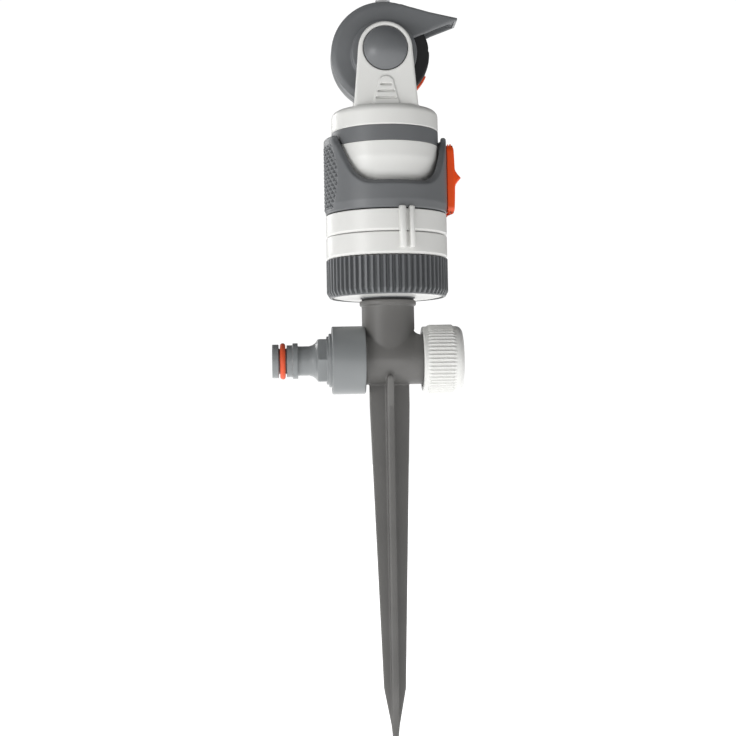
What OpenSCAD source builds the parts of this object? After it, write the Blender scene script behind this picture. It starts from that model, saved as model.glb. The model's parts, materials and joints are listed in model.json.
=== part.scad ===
// Turbine-driven garden sprinkler on a ground spike, with a full-circle and a part-circle mode.
// Units are millimetres. Z points up from the soil line and +X points at the end cap.

/* [Spike and tee] */
// Height of the water inlet axis above the soil
inlet_z = 18; // [17:0.5:19]
// Length of the spike below the soil line
spike_depth = 162; // [140:1:180]
// Thickness of the crossed spike blades
blade_t = 3.2; // [2.8:0.1:4]
// Half width of the blades at the soil line
blade_half = 9.5; // [9:0.5:11]
// Radius of the horizontal tee barrel
barrel_r = 11.85; // [11.5:0.05:12.4]
// Radius of the vertical neck
neck_r = 12.8; // [12.4:0.1:13.2]
// Major radius of the two threaded ends
thread_r = 13.2; // [13:0.05:13.3]

/* [Inlet connector] */
// Radius of the quick-connect nipple
nipple_r = 8; // [7.9:0.05:8.1]
// Radius of the water bore in the nipple
nipple_bore_r = 4.8; // [4:0.1:5.2]
// Distance of the nipple tip from the spike axis
nipple_reach = 55.5; // [54:0.5:60]
// Radius of the threaded socket
socket_r = 16.15; // [15.8:0.05:16.3]
// Hexagon size across flats
hex_flats = 20; // [19:0.5:21]

/* [End cap] */
// Radius of the end cap over its ribs
cap_r = 16.35; // [16:0.05:16.6]
// Outer face of the cap
cap_x = 35; // [34:0.5:37]
// Number of grip ribs on the cap
cap_ribs = 54; // [36:2:60]

/* [Base and rings] */
// Radius of the ribbed grip ring
grip_r = 29; // [28.8:0.1:29.4]
// Number of grip ring ribs
grip_ribs = 62; // [40:2:70]
// Radius of the two sector rings
sector_r = 28.85; // [28.6:0.05:28.9]
// Height at which the grip ring begins
grip_z = 47.4; // [47.2:0.1:47.6]
// Top of the grip ring
grip_top_z = 65.4; // [65.2:0.1:65.6]
// Radial height of the sector stops
stop_h = 2.3; // [1.8:0.1:2.6]

/* [Collar and turret] */
// Outer radius of the collar
collar_r = 29.3; // [29.1:0.05:29.5]
// Top of the collar
collar_top_z = 123.3; // [122:0.1:124]
// Lowest edge of the collar's scoops
scoop_z = 98.7; // [98:0.1:100]
// Angle of the collar round from the yoke
collar_turn = 10; // [8:0.5:12]
// Radius of the turret
turret_r = 25.5; // [25.2:0.1:25.8]
// Top face of the turret
turret_top_z = 136.6; // [136:0.1:136.7]
// Outer face of the yoke arms, measured from the axis
arm_out_y = 19.5; // [19:0.1:19.8]
// Width of the selector slide
selector_w = 13; // [11:0.5:14]

/* [Nozzle] */
// Height of the tilt axis
tilt_z = 163.5; // [163.4:0.1:164]
// Radius of the nozzle shells
shell_r = 25.2; // [25:0.1:25.4]
// Radius of the black nozzle drum
drum_r = 21.8; // [21.4:0.1:22]
// Upward angle of the jet
jet_angle = 8; // [6:1:9]

/* [Gears] */
// Gear module
gear_module = 0.45; // [0.44:0.01:0.45]
// Teeth on each pinion
pinion_teeth = 12; // [12]
// Teeth on each wheel
wheel_teeth = 36; // [36]

/* [Hidden] */
$fn = 96;

white = "#e9eaea";
grey = "#6e6e6d";
dark_grey = "#565655";
black = "#242425";
orange = "#d2420f";
acetal = "#dcd6c4";
steel = "#b9bcc0";
rubber = "#1c1c1c";
spike_grey = "#5f5d5b";

eps = 0.01;
through = 1;                       // extra length of a cutting solid past the face it opens
fit = 0.05;                        // radial clearance of a running fit

// Tee and inlet
stub_in_x = -24.1;
stub_out_x = 26;
socket_open_x = -11.3;
socket_floor_x = -25.6;
barrel_from_x = -11;
barrel_to_x = 16.6;
waterway_r = 9;
neck_top_z = 46;
neck_thread_r = 10.45;
neck_thread_z = 31.5;

// Levels inside the base
washer_t = 1;
boss_z = neck_top_z + washer_t;
plate_top_z = 50;
plate_r = 26.4;
sleeve_in_r = 22.6;
sleeve_r = 24;
housing_r = 22.3;
housing_wall = 1;
housing_in_r = housing_r - housing_wall;
housing_top_z = 87;
housing_roof_z = 84.6;
seal_seat_z = 86.2;
seal_seat_r = 7.6;
shaft_r = 5;
shaft_bore_r = 3.2;
screw_pcd_r = 18.6;
screw_angles = [30, 150, 270];
port_r = 13;                       // radius of the circle of water ports
port_count = 6;

// Gear train
arbor_r = 1.25;
arbor_y = gear_module * (pinion_teeth + wheel_teeth) / 2 + 0.03;
pressure = 25;
backlash = 0.13;
wheel_t = 2;
turbine_z = 55.4;
turbine_h = 6.2;
turbine_r = 14;
blade_count = 12;
train_z = 66;                      // first wheel's lower face
stage_pitch = 3.8;                 // rise from one wheel to the next

// Sector rings and head
gap = 0.3;
lower_ring_z = grip_top_z + 0.4;
ring_split_z = 76.25;
ring_top_z = 86.7;
collar_z = 87.2;
collar_in_r = 26.7;
floor_z = 89.6;
floor_t = 2.2;
stop_top_z = 87.9;
stop_low_z = 68.5;
left_stop_angle = -78.5;
right_stop_angle = -70;
trip_angle = 10;

// Turret and yoke
bowl_top_z = 119;
band_top_z = 126.3;
turret_wall = 2;
arm_in_y = 11;
arm_hub_r = 12.7;
arm_base_half = 15.4;
trunnion_r = 8;
cap_seat_r = 10.6;
cap_seat_y = 16.9;

// Nozzle
shell_y = 7.4;
shell_wall = 2.1;
hub_face_r = 15.6;
visor_tip = [35.5, 17];
visor_lip = [35.3, 15.6];
visor_root = [13.8, 7.6];
visor_crown = [8.5, 23.6];
screw_spots = [100, 190, 250];
shell_screw_r = 23.65;

// ---- helpers ----------------------------------------------------------------------------

module ring(r_out, r_in, z0, z1) {
    translate([0, 0, z0]) difference() {
        cylinder(r = r_out, h = z1 - z0);
        translate([0, 0, -through]) cylinder(r = r_in, h = z1 - z0 + 2 * through);
    }
}

module rod(r, z0, z1) {
    translate([0, 0, z0]) cylinder(r = r, h = z1 - z0);
}

// Lays a solid drawn along Z on the inlet axis, so that Z becomes X.
module on_inlet_axis() {
    translate([0, 0, inlet_z]) rotate([0, 90, 0]) children();
}

// Lays a solid drawn along Z on the tilt axis, so that Z becomes Y.
module on_tilt_axis() {
    translate([0, 0, tilt_z]) rotate([-90, 0, 0]) children();
}

// Extrudes an outline drawn in X and Z from y0 to y1.
module slab(y0, y1) {
    translate([0, y1, 0]) rotate([90, 0, 0]) linear_extrude(y1 - y0) children();
}

module around(angles, radius = 0) {
    for (a = angles) rotate([0, 0, a]) translate([radius, 0, 0]) children();
}

// Gear outline: involute flanks from the base circle, straight below it.
function involute(a) = tan(a) * 180 / PI - a;
function flank(r, base_r, half) =
    half + involute(pressure) - (r <= base_r ? 0 : involute(acos(base_r / r)));
function polar(r, a) = [r * cos(a), r * sin(a)];
function gear_points(teeth, phase) =
    let (pitch_r = gear_module * teeth / 2,
         base_r = pitch_r * cos(pressure),
         root_r = pitch_r - 1.05 * gear_module,
         tip_r = pitch_r + 0.8 * gear_module,
         half = (PI * gear_module / 2 - backlash) / 2 / pitch_r * 180 / PI,
         radii = [for (i = [0:4]) root_r + (tip_r - root_r) * i / 4])
    [for (t = [0:teeth - 1])
        for (side = [-1, 1])
            for (i = [0:4])
                let (r = side < 0 ? radii[i] : radii[4 - i])
                polar(r, phase + t * 360 / teeth + side * flank(r, base_r, half))];

module gear(teeth, z0, z1, phase) {
    translate([0, 0, z0]) linear_extrude(z1 - z0) polygon(gear_points(teeth, phase));
}

// A wheel with its pinion above it, turning on an arbor.
module compound_gear(z, wheel_phase, pinion_phase) {
    difference() {
        union() {
            rod(2.1, z - 0.5, z + eps);
            gear(wheel_teeth, z, z + wheel_t, wheel_phase);
            gear(pinion_teeth, z + wheel_t - eps, z + wheel_t + 4.2, pinion_phase);
        }
        rod(arbor_r + fit, z - 2, z + wheel_t + 6);
    }
}

module torus(r_major, r_minor) {
    rotate_extrude() translate([r_major, 0]) circle(r = r_minor, $fn = 32);
}

module rounded_outline(w, h, r) {
    union() {
        square([w - 2 * r, h], center = true);
        square([w, h - 2 * r], center = true);
        for (x = [-1, 1], y = [-1, 1]) translate([x * (w / 2 - r), y * (h / 2 - r)]) circle(r = r);
    }
}

// ---- spike, tee and inlet ---------------------------------------------------------------

module blade_outline(top_half, top_z) {
    shoulder_z = -4;
    heel_z = 0.85 * -spike_depth;
    polygon([[-top_half, top_z], [-blade_half, shoulder_z], [-5.2, heel_z], [-1.2, 3 - spike_depth],
             [0, -spike_depth], [1.2, 3 - spike_depth], [5.2, heel_z], [blade_half, shoulder_z],
             [top_half, top_z]]);
}

module tee_spike() color(spike_grey) {
    difference() {
        union() {
            slab(-blade_t / 2, blade_t / 2) blade_outline(blade_half, inlet_z);
            rotate([0, 0, 90]) slab(-blade_t / 2, blade_t / 2) blade_outline(barrel_r + 0.9, inlet_z - 6);
            on_inlet_axis() rod(barrel_r, stub_in_x + 1, stub_out_x - 1);
            on_inlet_axis() rod(thread_r, stub_in_x, barrel_from_x);
            on_inlet_axis() rod(thread_r, barrel_to_x + 0.3, stub_out_x);
            rod(neck_r, inlet_z, neck_top_z - eps);
            rod(neck_r + 0.9, neck_top_z - 2, neck_top_z);
        }
        on_inlet_axis() rod(waterway_r, stub_in_x - through, stub_out_x + through);
        rod(7.5, inlet_z, neck_top_z + through);
        rod(neck_thread_r, neck_thread_z, neck_top_z + through);
        // relief in the neck for the connector's rim
        on_inlet_axis() ring(socket_r + 0.3, thread_r, stub_in_x, socket_open_x + 0.3);
    }
}

// Outline of the nipple and flare as distance from the tip against radius.
function nipple_profile() =
    [[0, nipple_bore_r], [0, nipple_r - 0.8], [0.8, nipple_r], [3.1, nipple_r], [3.1, 6], [6.9, 6],
     [6.9, 7.6], [9.7, 7.6], [9.7, 8.5], [12.2, 8.5], [12.2, 7], [17.5, 7], [19.2, 7.5], [20.5, 8.4],
     [21.5, 10], [21.5, nipple_bore_r]];

module inlet_connector() color(dark_grey) {
    hex_x = 21.5 - nipple_reach;
    flange_x = hex_x + 4.4;
    rim_x = flange_x + 1;
    back_x = rim_x + 1.5;
    difference() {
        on_inlet_axis() union() {
            translate([0, 0, -nipple_reach])
                rotate_extrude() polygon([for (p = nipple_profile()) [p[1], p[0]]]);
            rotate([0, 0, 30]) translate([0, 0, hex_x - eps])
                cylinder(r = hex_flats / sqrt(3), h = flange_x - hex_x + 2 * eps, $fn = 6);
            rod(11.5, flange_x, rim_x + eps);
            rod(12.8, rim_x, back_x + eps);
            rod(socket_r, back_x, socket_open_x);
        }
        on_inlet_axis() rod(nipple_bore_r, -nipple_reach - through, socket_open_x + through);
        on_inlet_axis() rod(thread_r + 0.1, socket_floor_x, socket_open_x + through);
    }
}

module inlet_o_ring() color(orange)
    on_inlet_axis() translate([0, 0, 5 - nipple_reach]) torus(7.35, 1.3);

module inlet_washer() color(rubber)
    on_inlet_axis() ring(thread_r - 0.7, 8.9, socket_floor_x + eps, stub_in_x - eps);

module filter_screen() color(acetal)
    on_inlet_axis() difference() {
        union() {
            ring(8.8, 5.7, socket_floor_x + eps, socket_floor_x + 0.9);
            ring(6.3, 5.7, socket_floor_x + 0.5, socket_floor_x + 13);
            rod(6.3, socket_floor_x + 12.4, socket_floor_x + 13);
        }
        for (row = [0:2]) around([0:45:315], 4)
            translate([0, -0.9, socket_floor_x + 1.7 + row * 3.6]) cube([4, 1.8, 2.8]);
    }

module neck_washer() color(rubber) ring(12.4, neck_thread_r, neck_top_z + eps, boss_z - eps);

module threaded_boss() color(grey) difference() {
    union() {
        rod(neck_thread_r - 0.05, neck_thread_z + 1.5, boss_z + eps);
        rod(13, boss_z, boss_z + 1.3);
        rod(9, boss_z + 1.3 - eps, plate_top_z);
    }
    rod(6.5, neck_thread_z, plate_top_z + through);
}

// ---- end cap ----------------------------------------------------------------------------

module end_cap() color(white) {
    open_x = 15.9;
    rib_from_x = open_x + 2.2;
    rib_to_x = cap_x - 4;
    corner = 3;
    floor_x = stub_out_x + 2.2;
    difference() {
        on_inlet_axis() union() {
            rotate_extrude() union() {
                translate([0, open_x]) square([cap_r - 0.15, cap_x - corner - open_x]);
                translate([0, open_x]) square([cap_r - corner, cap_x - open_x]);
                translate([cap_r - corner - 0.15, cap_x - corner]) circle(r = corner);
            }
            translate([0, 0, rib_from_x]) linear_extrude(rib_to_x - rib_from_x) difference() {
                circle(r = cap_r);
                for (i = [0:cap_ribs - 1]) rotate([0, 0, i * 360 / cap_ribs])
                    translate([cap_r, 0]) square([0.6, 1], center = true);
            }
        }
        on_inlet_axis() rod(thread_r + 0.15, open_x - through, floor_x);
        on_inlet_axis() rod(waterway_r, floor_x - eps, cap_x - 2.2);
    }
}

module cap_seal() color(rubber)
    on_inlet_axis() ring(thread_r - 0.7, 4, stub_out_x + eps, stub_out_x + 2.2 - eps);

// ---- base, housing and reversing gear ----------------------------------------------------

module base_plate() color(white) difference() {
    union() {
        rod(plate_r, grip_z + 0.6, plate_top_z);
        translate([0, 0, grip_z]) cylinder(r1 = plate_r - 3, r2 = plate_r, h = 0.61);
    }
    rod(13.1, grip_z - through, boss_z + 1.35);
    rod(9.1, grip_z, plate_top_z + through);
    around(screw_angles, screw_pcd_r) rod(1.3, grip_z - through, plate_top_z + through);
    around(screw_angles, screw_pcd_r) rod(2.5, grip_z - through, grip_z + 1.4);
}

module base_screws() color(steel) around(screw_angles, screw_pcd_r) difference() {
    union() {
        rod(2.2, grip_z + 0.1, grip_z + 1.35);
        rod(1.1, grip_z + 1.3, plate_top_z + 6);
    }
    for (a = [0, 90]) rotate([0, 0, a]) translate([-1.4, -0.25, grip_z]) cube([2.8, 0.5, 0.7]);
}

module grip_ring() color(dark_grey) {
    groove_from_z = grip_z + 1.6;
    difference() {
        union() {
            translate([0, 0, grip_z]) cylinder(r1 = grip_r - 1.4, r2 = grip_r, h = 2.5);
            rod(grip_r, grip_z + 2.5 - eps, grip_top_z);
        }
        rod(plate_r + 0.1, grip_z - through, plate_top_z + 0.2);
        rod(25.6, plate_top_z, grip_top_z + through);
        for (i = [0:grip_ribs - 1]) rotate([0, 0, i * 360 / grip_ribs])
            translate([grip_r - 0.9, -0.9, groove_from_z]) cube([2, 1.8, grip_top_z - groove_from_z + 1]);
    }
}

module drive_housing() color(white) difference() {
    union() {
        ring(housing_r, housing_in_r, plate_top_z, housing_top_z);
        rod(housing_r - eps, housing_roof_z, housing_top_z);
        around(screw_angles, screw_pcd_r) rod(2.4, plate_top_z, plate_top_z + 8);
        around(screw_angles, screw_pcd_r + 1.8) translate([0, -1, plate_top_z]) cube([1.5, 2, 8]);
    }
    rod(seal_seat_r, housing_roof_z - through, seal_seat_z);
    rod(shaft_r + fit, seal_seat_z - through, housing_top_z + through);
    around(screw_angles, screw_pcd_r) rod(1.15, plate_top_z - through, plate_top_z + 6.4);
    // slot for the reversing finger
    translate([-4.4, housing_in_r - 2, plate_top_z - through]) cube([8.8, 4, 2.4 + through]);
}

module shaft_seal() color(rubber)
    ring(seal_seat_r - 0.05, shaft_r + fit, housing_roof_z + 0.1, seal_seat_z - eps);

module thrust_washer() color(acetal) ring(9, shaft_r + 0.3, housing_top_z + eps, housing_top_z + 1);

// Twelve slanted jets, two sets that drive the turbine opposite ways.
module stator() color(acetal) difference() {
    rod(20.8, 52.4, 54.6);
    rod(arbor_r + 0.03, 52, 56);
    around(screw_angles, screw_pcd_r) rod(2.7, 52, 56);
    around(screw_angles, screw_pcd_r) translate([0, -2.7, 52]) cube([5, 5.4, 4]);
    for (set = [-1, 1]) around([for (i = [0:port_count - 1]) i * 360 / port_count + (1 - set) * 5], port_r)
        translate([0, 0, 53.5]) rotate([set * 20, 0, 0]) cylinder(r = 0.9, h = 6, center = true, $fn = 24);
}

module reversing_plate() color(acetal) difference() {
    union() {
        rod(15.8, 50.8, 52);
        rotate([0, 0, 90 - trip_angle / 2]) translate([10, -1.5, 50.8]) cube([13.8, 3, 1.2]);
    }
    rod(arbor_r + fit, 50, 53);
    around([for (i = [0:port_count - 1]) i * 360 / port_count], port_r) rod(1, 50, 53);
}

module trip_sleeve() color(acetal) difference() {
    ring(sleeve_r, sleeve_in_r, plate_top_z + 0.4, ring_top_z - 0.3);
    // notch that takes the reversing finger
    rotate([0, 0, 90 - trip_angle / 2]) translate([20, -1.6, plate_top_z]) cube([6, 3.2, 2.2]);
    // two rest notches, one trip angle apart
    around([270, 270 - trip_angle], sleeve_r + 0.2) rod(0.7, 55.5, 60.5);
}

module detent_spring() color(steel) intersection() {
    union() {
        ring(25.35, 24.95, 56, 60);
        rotate([0, 0, 270]) translate([24.15, -0.35, 56]) cube([1, 0.7, 4]);
        around([228, 312], 25.1) translate([0, -1, 56]) cube([0.45, 2, 4]);
    }
    rotate([0, 0, 225]) translate([0, 0, 55]) cube([40, 40, 6]);
}

// ---- gear train -------------------------------------------------------------------------

module flow_windows(z0, z1) around([200, 225, 315, 340], 13.5) rod(2, z0 - through, z1 + through);

module lower_gear_plate() color(acetal) difference() {
    rod(21.1, 63.6, 65.2);
    rod(3, 63, 66);
    translate([0, arbor_y, 0]) rod(arbor_r + 0.03, 63, 66);
    flow_windows(63.6, 65.2);
}

module upper_gear_plate() color(acetal) difference() {
    rod(21.1, 80.2, 82);
    rod(shaft_r + 0.4, 80, 83);
    translate([0, arbor_y, 0]) rod(arbor_r + 0.03, 80, 83);
    flow_windows(80.2, 82);
}

module gear_pillars() color(acetal) around([15, 165, 270], 18.8) rod(1.8, 65.2 + eps, 80.2 - eps);

module centre_arbor() color(steel) rod(arbor_r, plate_top_z + 0.2, 78.3);

module side_arbor() color(steel) translate([0, arbor_y, 0]) rod(arbor_r, 63.6, 82);

module turbine_wheel() color(acetal) difference() {
    top_z = turbine_z + turbine_h;
    union() {
        rod(2.8, turbine_z, top_z);
        ring(turbine_r, turbine_r - 0.9, turbine_z, top_z);
        rod(turbine_r - 0.5, turbine_z + 2.6, turbine_z + 3.6);
        around([for (i = [0:blade_count - 1]) i * 360 / blade_count])
            translate([2, -0.45, turbine_z]) cube([turbine_r - 2.4, 0.9, turbine_h]);
        rod(2.1, top_z - eps, train_z - 0.4);
        gear(pinion_teeth, train_z - 0.4 - eps, train_z + 3.2, 90);
    }
    rod(arbor_r + fit, turbine_z - 1, train_z + 5);
}

module first_gear() color(acetal)
    translate([0, arbor_y, 0]) compound_gear(train_z, 270 + 180 / wheel_teeth, 270);

module second_gear() color(acetal)
    compound_gear(train_z + stage_pitch, 90 + 180 / wheel_teeth, 90);

module third_gear() color(acetal)
    translate([0, arbor_y, 0]) compound_gear(train_z + 2 * stage_pitch, 270 + 180 / wheel_teeth, 270);

module output_gear() color(acetal) {
    z = train_z + 3 * stage_pitch;
    difference() {
        union() {
            rod(2.1, z - 0.5, z + eps);
            gear(wheel_teeth, z, z + wheel_t, 90 + 180 / wheel_teeth);
            rod(shaft_bore_r - 0.05, z + wheel_t - eps, z + wheel_t + 2.8);
        }
        rod(arbor_r + fit, z - 1, 78.6);
    }
}

module output_shaft() color(steel) difference() {
    ring(shaft_r, shaft_bore_r, train_z + 3 * stage_pitch + wheel_t + eps, 108);
    for (a = [0, 90]) rotate([0, 0, a]) translate([0, 0, 83.4]) rotate([0, 90, 0])
        cylinder(r = 0.9, h = 14, center = true, $fn = 24);
}

// ---- sector rings -----------------------------------------------------------------------

module sector_stop(angle, width, z0, z1) {
    bump_r = sector_r + gap + stop_h;
    rotate([0, 0, angle]) intersection() {
        union() {
            translate([sector_r - 0.5, -width / 2, z0]) cube([8, width, z1 - z0]);
            translate([sector_r + gap, -width / 2, stop_low_z])
                cube([8, width, stop_top_z - stop_low_z]);
        }
        rod(bump_r, stop_low_z - 1, stop_top_z + 1);
    }
}

module sector_ring(z0, z1) {
    difference() {
        union() {
            rod(sector_r - 0.7, z0, z0 + 0.8);
            translate([0, 0, z0]) cylinder(r1 = sector_r - 1, r2 = sector_r, h = 1.2);
            rod(sector_r, z0 + 1.2 - eps, z1);
        }
        rod(sleeve_r + 0.08, z0 - through, z1 + through);
        ring(sector_r - 1.9, sleeve_r + 1.1, z0 + 1.8, z1 + through);
    }
}

module lower_sector_ring() color(white) union() {
    sector_ring(lower_ring_z, ring_split_z - gap / 2);
    sector_stop(right_stop_angle, 2.4, lower_ring_z + 3.1, ring_split_z - gap / 2);
}

module upper_sector_ring() color(white) union() {
    sector_ring(ring_split_z + gap / 2, ring_top_z);
    sector_stop(left_stop_angle, 3.2, ring_split_z + gap / 2, ring_top_z);
}

// ---- collar, turret and yoke --------------------------------------------------------------

// One side of a scoop as half width against height above its lowest edge.
scoop_side = [[12, 0], [14.4, 0.5], [16, 1.4], [17.2, 2.7], [18.5, 5], [21.9, 11.3], [27.4, 23], [27.9, 30]];

module scoop_outline() {
    polygon(concat([for (p = scoop_side) [p[0], scoop_z + p[1]]],
                   [for (i = [len(scoop_side) - 1:-1:0]) [-scoop_side[i][0], scoop_z + scoop_side[i][1]]]));
}

module collar_profile() {
    rim = 1.3;
    union() {
        polygon([[collar_in_r, collar_z], [collar_r - 0.55, collar_z], [collar_r, collar_z + 4],
                 [collar_r, collar_top_z - rim], [collar_in_r, collar_top_z - rim]]);
        translate([collar_in_r + rim, collar_top_z - rim]) circle(r = rim, $fn = 48);
        translate([collar_r - rim, collar_top_z - rim]) circle(r = rim, $fn = 48);
        translate([collar_in_r + rim, collar_top_z - 2 * rim])
            square([collar_r - collar_in_r - 2 * rim + eps, 2 * rim]);
        translate([shaft_r + fit, floor_z]) square([collar_in_r - shaft_r, floor_t]);
        translate([shaft_r + fit, housing_top_z + 1.1]) square([9 - shaft_r, 3]);
    }
}

module collar() color(dark_grey) difference() {
    rotate_extrude() collar_profile();
    rotate([0, 0, collar_turn]) {
        slab(-40, -10) scoop_outline();
        slab(10, 40) scoop_outline();
        // slot of the selector slide
        translate([20, -2.7, 96.8]) cube([20, 5.4, 11.5]);
    }
    around([60, 180, 300], 13) rod(1.4, floor_z - through, floor_z + 3);
}

module collar_screws() color(steel) around([60, 180, 300], 13) difference() {
    union() {
        rod(2.4, floor_z - 1.3, floor_z - eps);
        rod(1.2, floor_z - 0.5, floor_z + 7);
    }
    for (a = [0, 90]) rotate([0, 0, a]) translate([-1.5, -0.25, floor_z - 1.4]) cube([3, 0.5, 0.7]);
}

bowl_points = [[turret_r, bowl_top_z], [turret_r - 0.2, bowl_top_z - 7], [turret_r - 1.6, bowl_top_z - 14],
               [turret_r - 5, bowl_top_z - 21], [turret_r - 11, floor_z + floor_t + eps]];

module turret_bowl() color(white) {
    bottom_z = floor_z + floor_t + eps;
    inner = [for (i = [4:-1:0]) bowl_points[i] - [turret_wall, i == 4 ? -2 : 0]];
    difference() {
        union() {
            rotate_extrude() polygon(concat(bowl_points, inner));
            rod(turret_r - 11, bottom_z, bottom_z + 2);
            rod(8, bottom_z, 104);
            around([60, 180, 300], 13) rod(2.8, bottom_z, bottom_z + 7);
            ring(turret_r - 3, turret_r - 5, bowl_top_z - 4, bowl_top_z + 3);
        }
        rod(shaft_r + fit, bottom_z - through, 109);
        around([60, 180, 300], 13) rod(1.25, bottom_z - through, bottom_z + 5.6);
    }
}

module turret_band() color(black)
    ring(turret_r, turret_r - turret_wall - 0.9, bowl_top_z + 0.1, band_top_z);

module band_seal() color(rubber)
    translate([0, 0, bowl_top_z + 3.9]) torus(turret_r - 3.9, 0.8);

module arm_outline() union() {
    translate([0, tilt_z]) circle(r = arm_hub_r);
    polygon([[-arm_base_half, turret_top_z - 4], [arm_base_half, turret_top_z - 4],
             [arm_hub_r, tilt_z], [-arm_hub_r, tilt_z]]);
}

module arch_outline() union() {
    foot_half = 6.4;
    head_r = 3.6;
    head_z = 146.6;
    polygon([[-foot_half, turret_top_z + 0.6], [foot_half, turret_top_z + 0.6], [head_r, head_z], [-head_r, head_z]]);
    translate([0, head_z]) circle(r = head_r);
}

module yoke() color(white) {
    corner = 3.5;
    difference() {
        union() {
            rotate_extrude() union() {
                translate([0, band_top_z + 0.1]) square([turret_r, turret_top_z - corner - band_top_z - 0.1]);
                translate([0, band_top_z + 0.1]) square([turret_r - corner, turret_top_z - band_top_z - 0.1]);
                translate([turret_r - corner, turret_top_z - corner]) circle(r = corner);
            }
            slab(-arm_out_y, -arm_in_y) arm_outline();
            slab(arm_in_y, arm_out_y) arm_outline();
            slab(-arm_out_y - 0.8, -arm_out_y + 1) arch_outline();
        }
        rod(turret_r - turret_wall - 1, band_top_z - through, turret_top_z - 3);
        on_tilt_axis() rod(trunnion_r + fit, -30, 30);
        on_tilt_axis() rod(cap_seat_r, cap_seat_y, 30);
        on_tilt_axis() rod(cap_seat_r, -30, -cap_seat_y);
        // three grooves across the arch
        for (g = [[139.9, 5], [143, 4], [146.1, 2.7]])
            translate([-g[1], -arm_out_y - 2, g[0] - 0.45]) cube([2 * g[1], 1.6, 0.9]);
        // waterway up the rear arm
        translate([0, 14.2, 0]) rod(2.2, turret_top_z - 5, tilt_z - 4);
    }
}

// ---- selector ---------------------------------------------------------------------------

module selector_slide() color(orange) rotate([0, 0, collar_turn]) {
    plate_in_r = collar_r + 0.3;
    plate_r_out = collar_r + 4.2;
    low_z = 88.4;
    high_z = 120;
    ridge_z = 104.9;
    ridge_h = 3.1;
    ridge_half = 6;
    intersection() {
        ring(plate_r_out, plate_in_r, low_z - 1, high_z + 1);
        translate([20, 0, (low_z + high_z) / 2]) rotate([90, 0, 90])
            linear_extrude(20) rounded_outline(selector_w, high_z - low_z, 2.5);
    }
    // thumb ridge with hollow flanks
    intersection() {
        slab(-selector_w / 2 + 1, selector_w / 2 - 1) difference() {
            translate([plate_r_out - 1.6, ridge_z - ridge_half]) square([ridge_h + 1.6, 2 * ridge_half]);
            for (s = [-1, 1]) translate([plate_r_out + 6.2, ridge_z + s * 7.6]) circle(r = 7.3);
        }
        translate([0, 0, ridge_z - 10]) cylinder(r = plate_r_out + ridge_h, h = 20);
    }
    // stem and keeper behind the collar wall
    translate([collar_in_r - 0.5, -2.5, 100]) cube([plate_in_r - collar_in_r + 1.2, 5, 8]);
    intersection() {
        ring(collar_in_r - 0.3, collar_in_r - 1.1, 98, 110);
        translate([20, -4, 98]) cube([10, 8, 12]);
    }
}

// ---- nozzle -----------------------------------------------------------------------------

module shell_outline(r) {
    difference() {
        circle(r = r);
        polygon([[0, 0], polar(60, 20), polar(60, -30), polar(60, -78)]);
    }
}

module visor_outline() {
    polygon([visor_crown, visor_tip, visor_lip, visor_root, [13, 4], [6, 12]]);
}

module shell(side) {
    rim_inner = 0.1;
    y_low = side > 0 ? rim_inner : -shell_y;
    y_high = side > 0 ? shell_y : -rim_inner;
    boss_y = arm_in_y - 0.3;
    hub_low = side > 0 ? shell_y - shell_wall : -boss_y;
    hub_high = side > 0 ? boss_y : -shell_y + shell_wall;
    pocket_y = shell_y - shell_wall;
    difference() {
        translate([0, 0, tilt_z]) union() {
            slab(y_low, y_high) shell_outline(shell_r);
            slab(y_low, y_high) visor_outline();
            slab(hub_low, hub_high) circle(r = hub_face_r);
        }
        on_tilt_axis() rod(drum_r + 0.3, -pocket_y, pocket_y);
        on_tilt_axis() rod(trunnion_r + fit, -20, 20);
        for (a = screw_spots) translate([0, 0, tilt_z])
            rotate([0, -a, 0]) translate([shell_screw_r, 0, 0]) rotate([90, 0, 0])
                cylinder(r = 0.85, h = 2 * shell_y - 1, center = true, $fn = 24);
    }
}

module front_shell() color(grey) shell(-1);
module rear_shell() color(grey) shell(1);

module shell_screws() color(steel) translate([0, 0, tilt_z])
    for (a = screw_spots) rotate([0, -a, 0]) translate([shell_screw_r, 0, 0]) rotate([90, 0, 0])
        cylinder(r = 0.8, h = 2 * shell_y - 1.4, center = true, $fn = 24);

module nozzle_drum() color(black) difference() {
    pocket_y = shell_y - shell_wall - 0.1;
    union() {
        on_tilt_axis() rod(drum_r, -pocket_y, pocket_y);
        on_tilt_axis() rod(trunnion_r, -cap_seat_y, cap_seat_y);
    }
    on_tilt_axis() rod(drum_r - 3, -pocket_y + 2, pocket_y - 2);
    on_tilt_axis() rod(4, -cap_seat_y - through, cap_seat_y + through);
    // grooves of the two trunnion seals
    on_tilt_axis() ring(trunnion_r + 1, trunnion_r - 1.5, 11.6, 13.4);
    on_tilt_axis() ring(trunnion_r + 1, trunnion_r - 1.5, -13.4, -11.6);
    // port from the rear arm's waterway
    translate([0, 14.9, tilt_z - 12]) cylinder(r = 1.2, h = 12, $fn = 24);
    translate([0, 0, tilt_z]) rotate([0, 90 - jet_angle, 0]) rod(3.1, 10, 30);
}

module nozzle_insert() color(grey)
    translate([0, 0, tilt_z]) rotate([0, 90 - jet_angle, 0]) difference() {
        rod(3.05, drum_r - 4, drum_r - 0.5);
        rod(1.8, drum_r - 5, drum_r + 3);
    }

module range_marker() color(orange) translate([0, 0, tilt_z]) intersection() {
    rotate([-90, 0, 0]) ring(drum_r + 0.8, drum_r + eps, -3, 3);
    slab(-4, 4) polygon([[0, 0], polar(40, -27), polar(40, -36), polar(40, -46)]);
}

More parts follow.
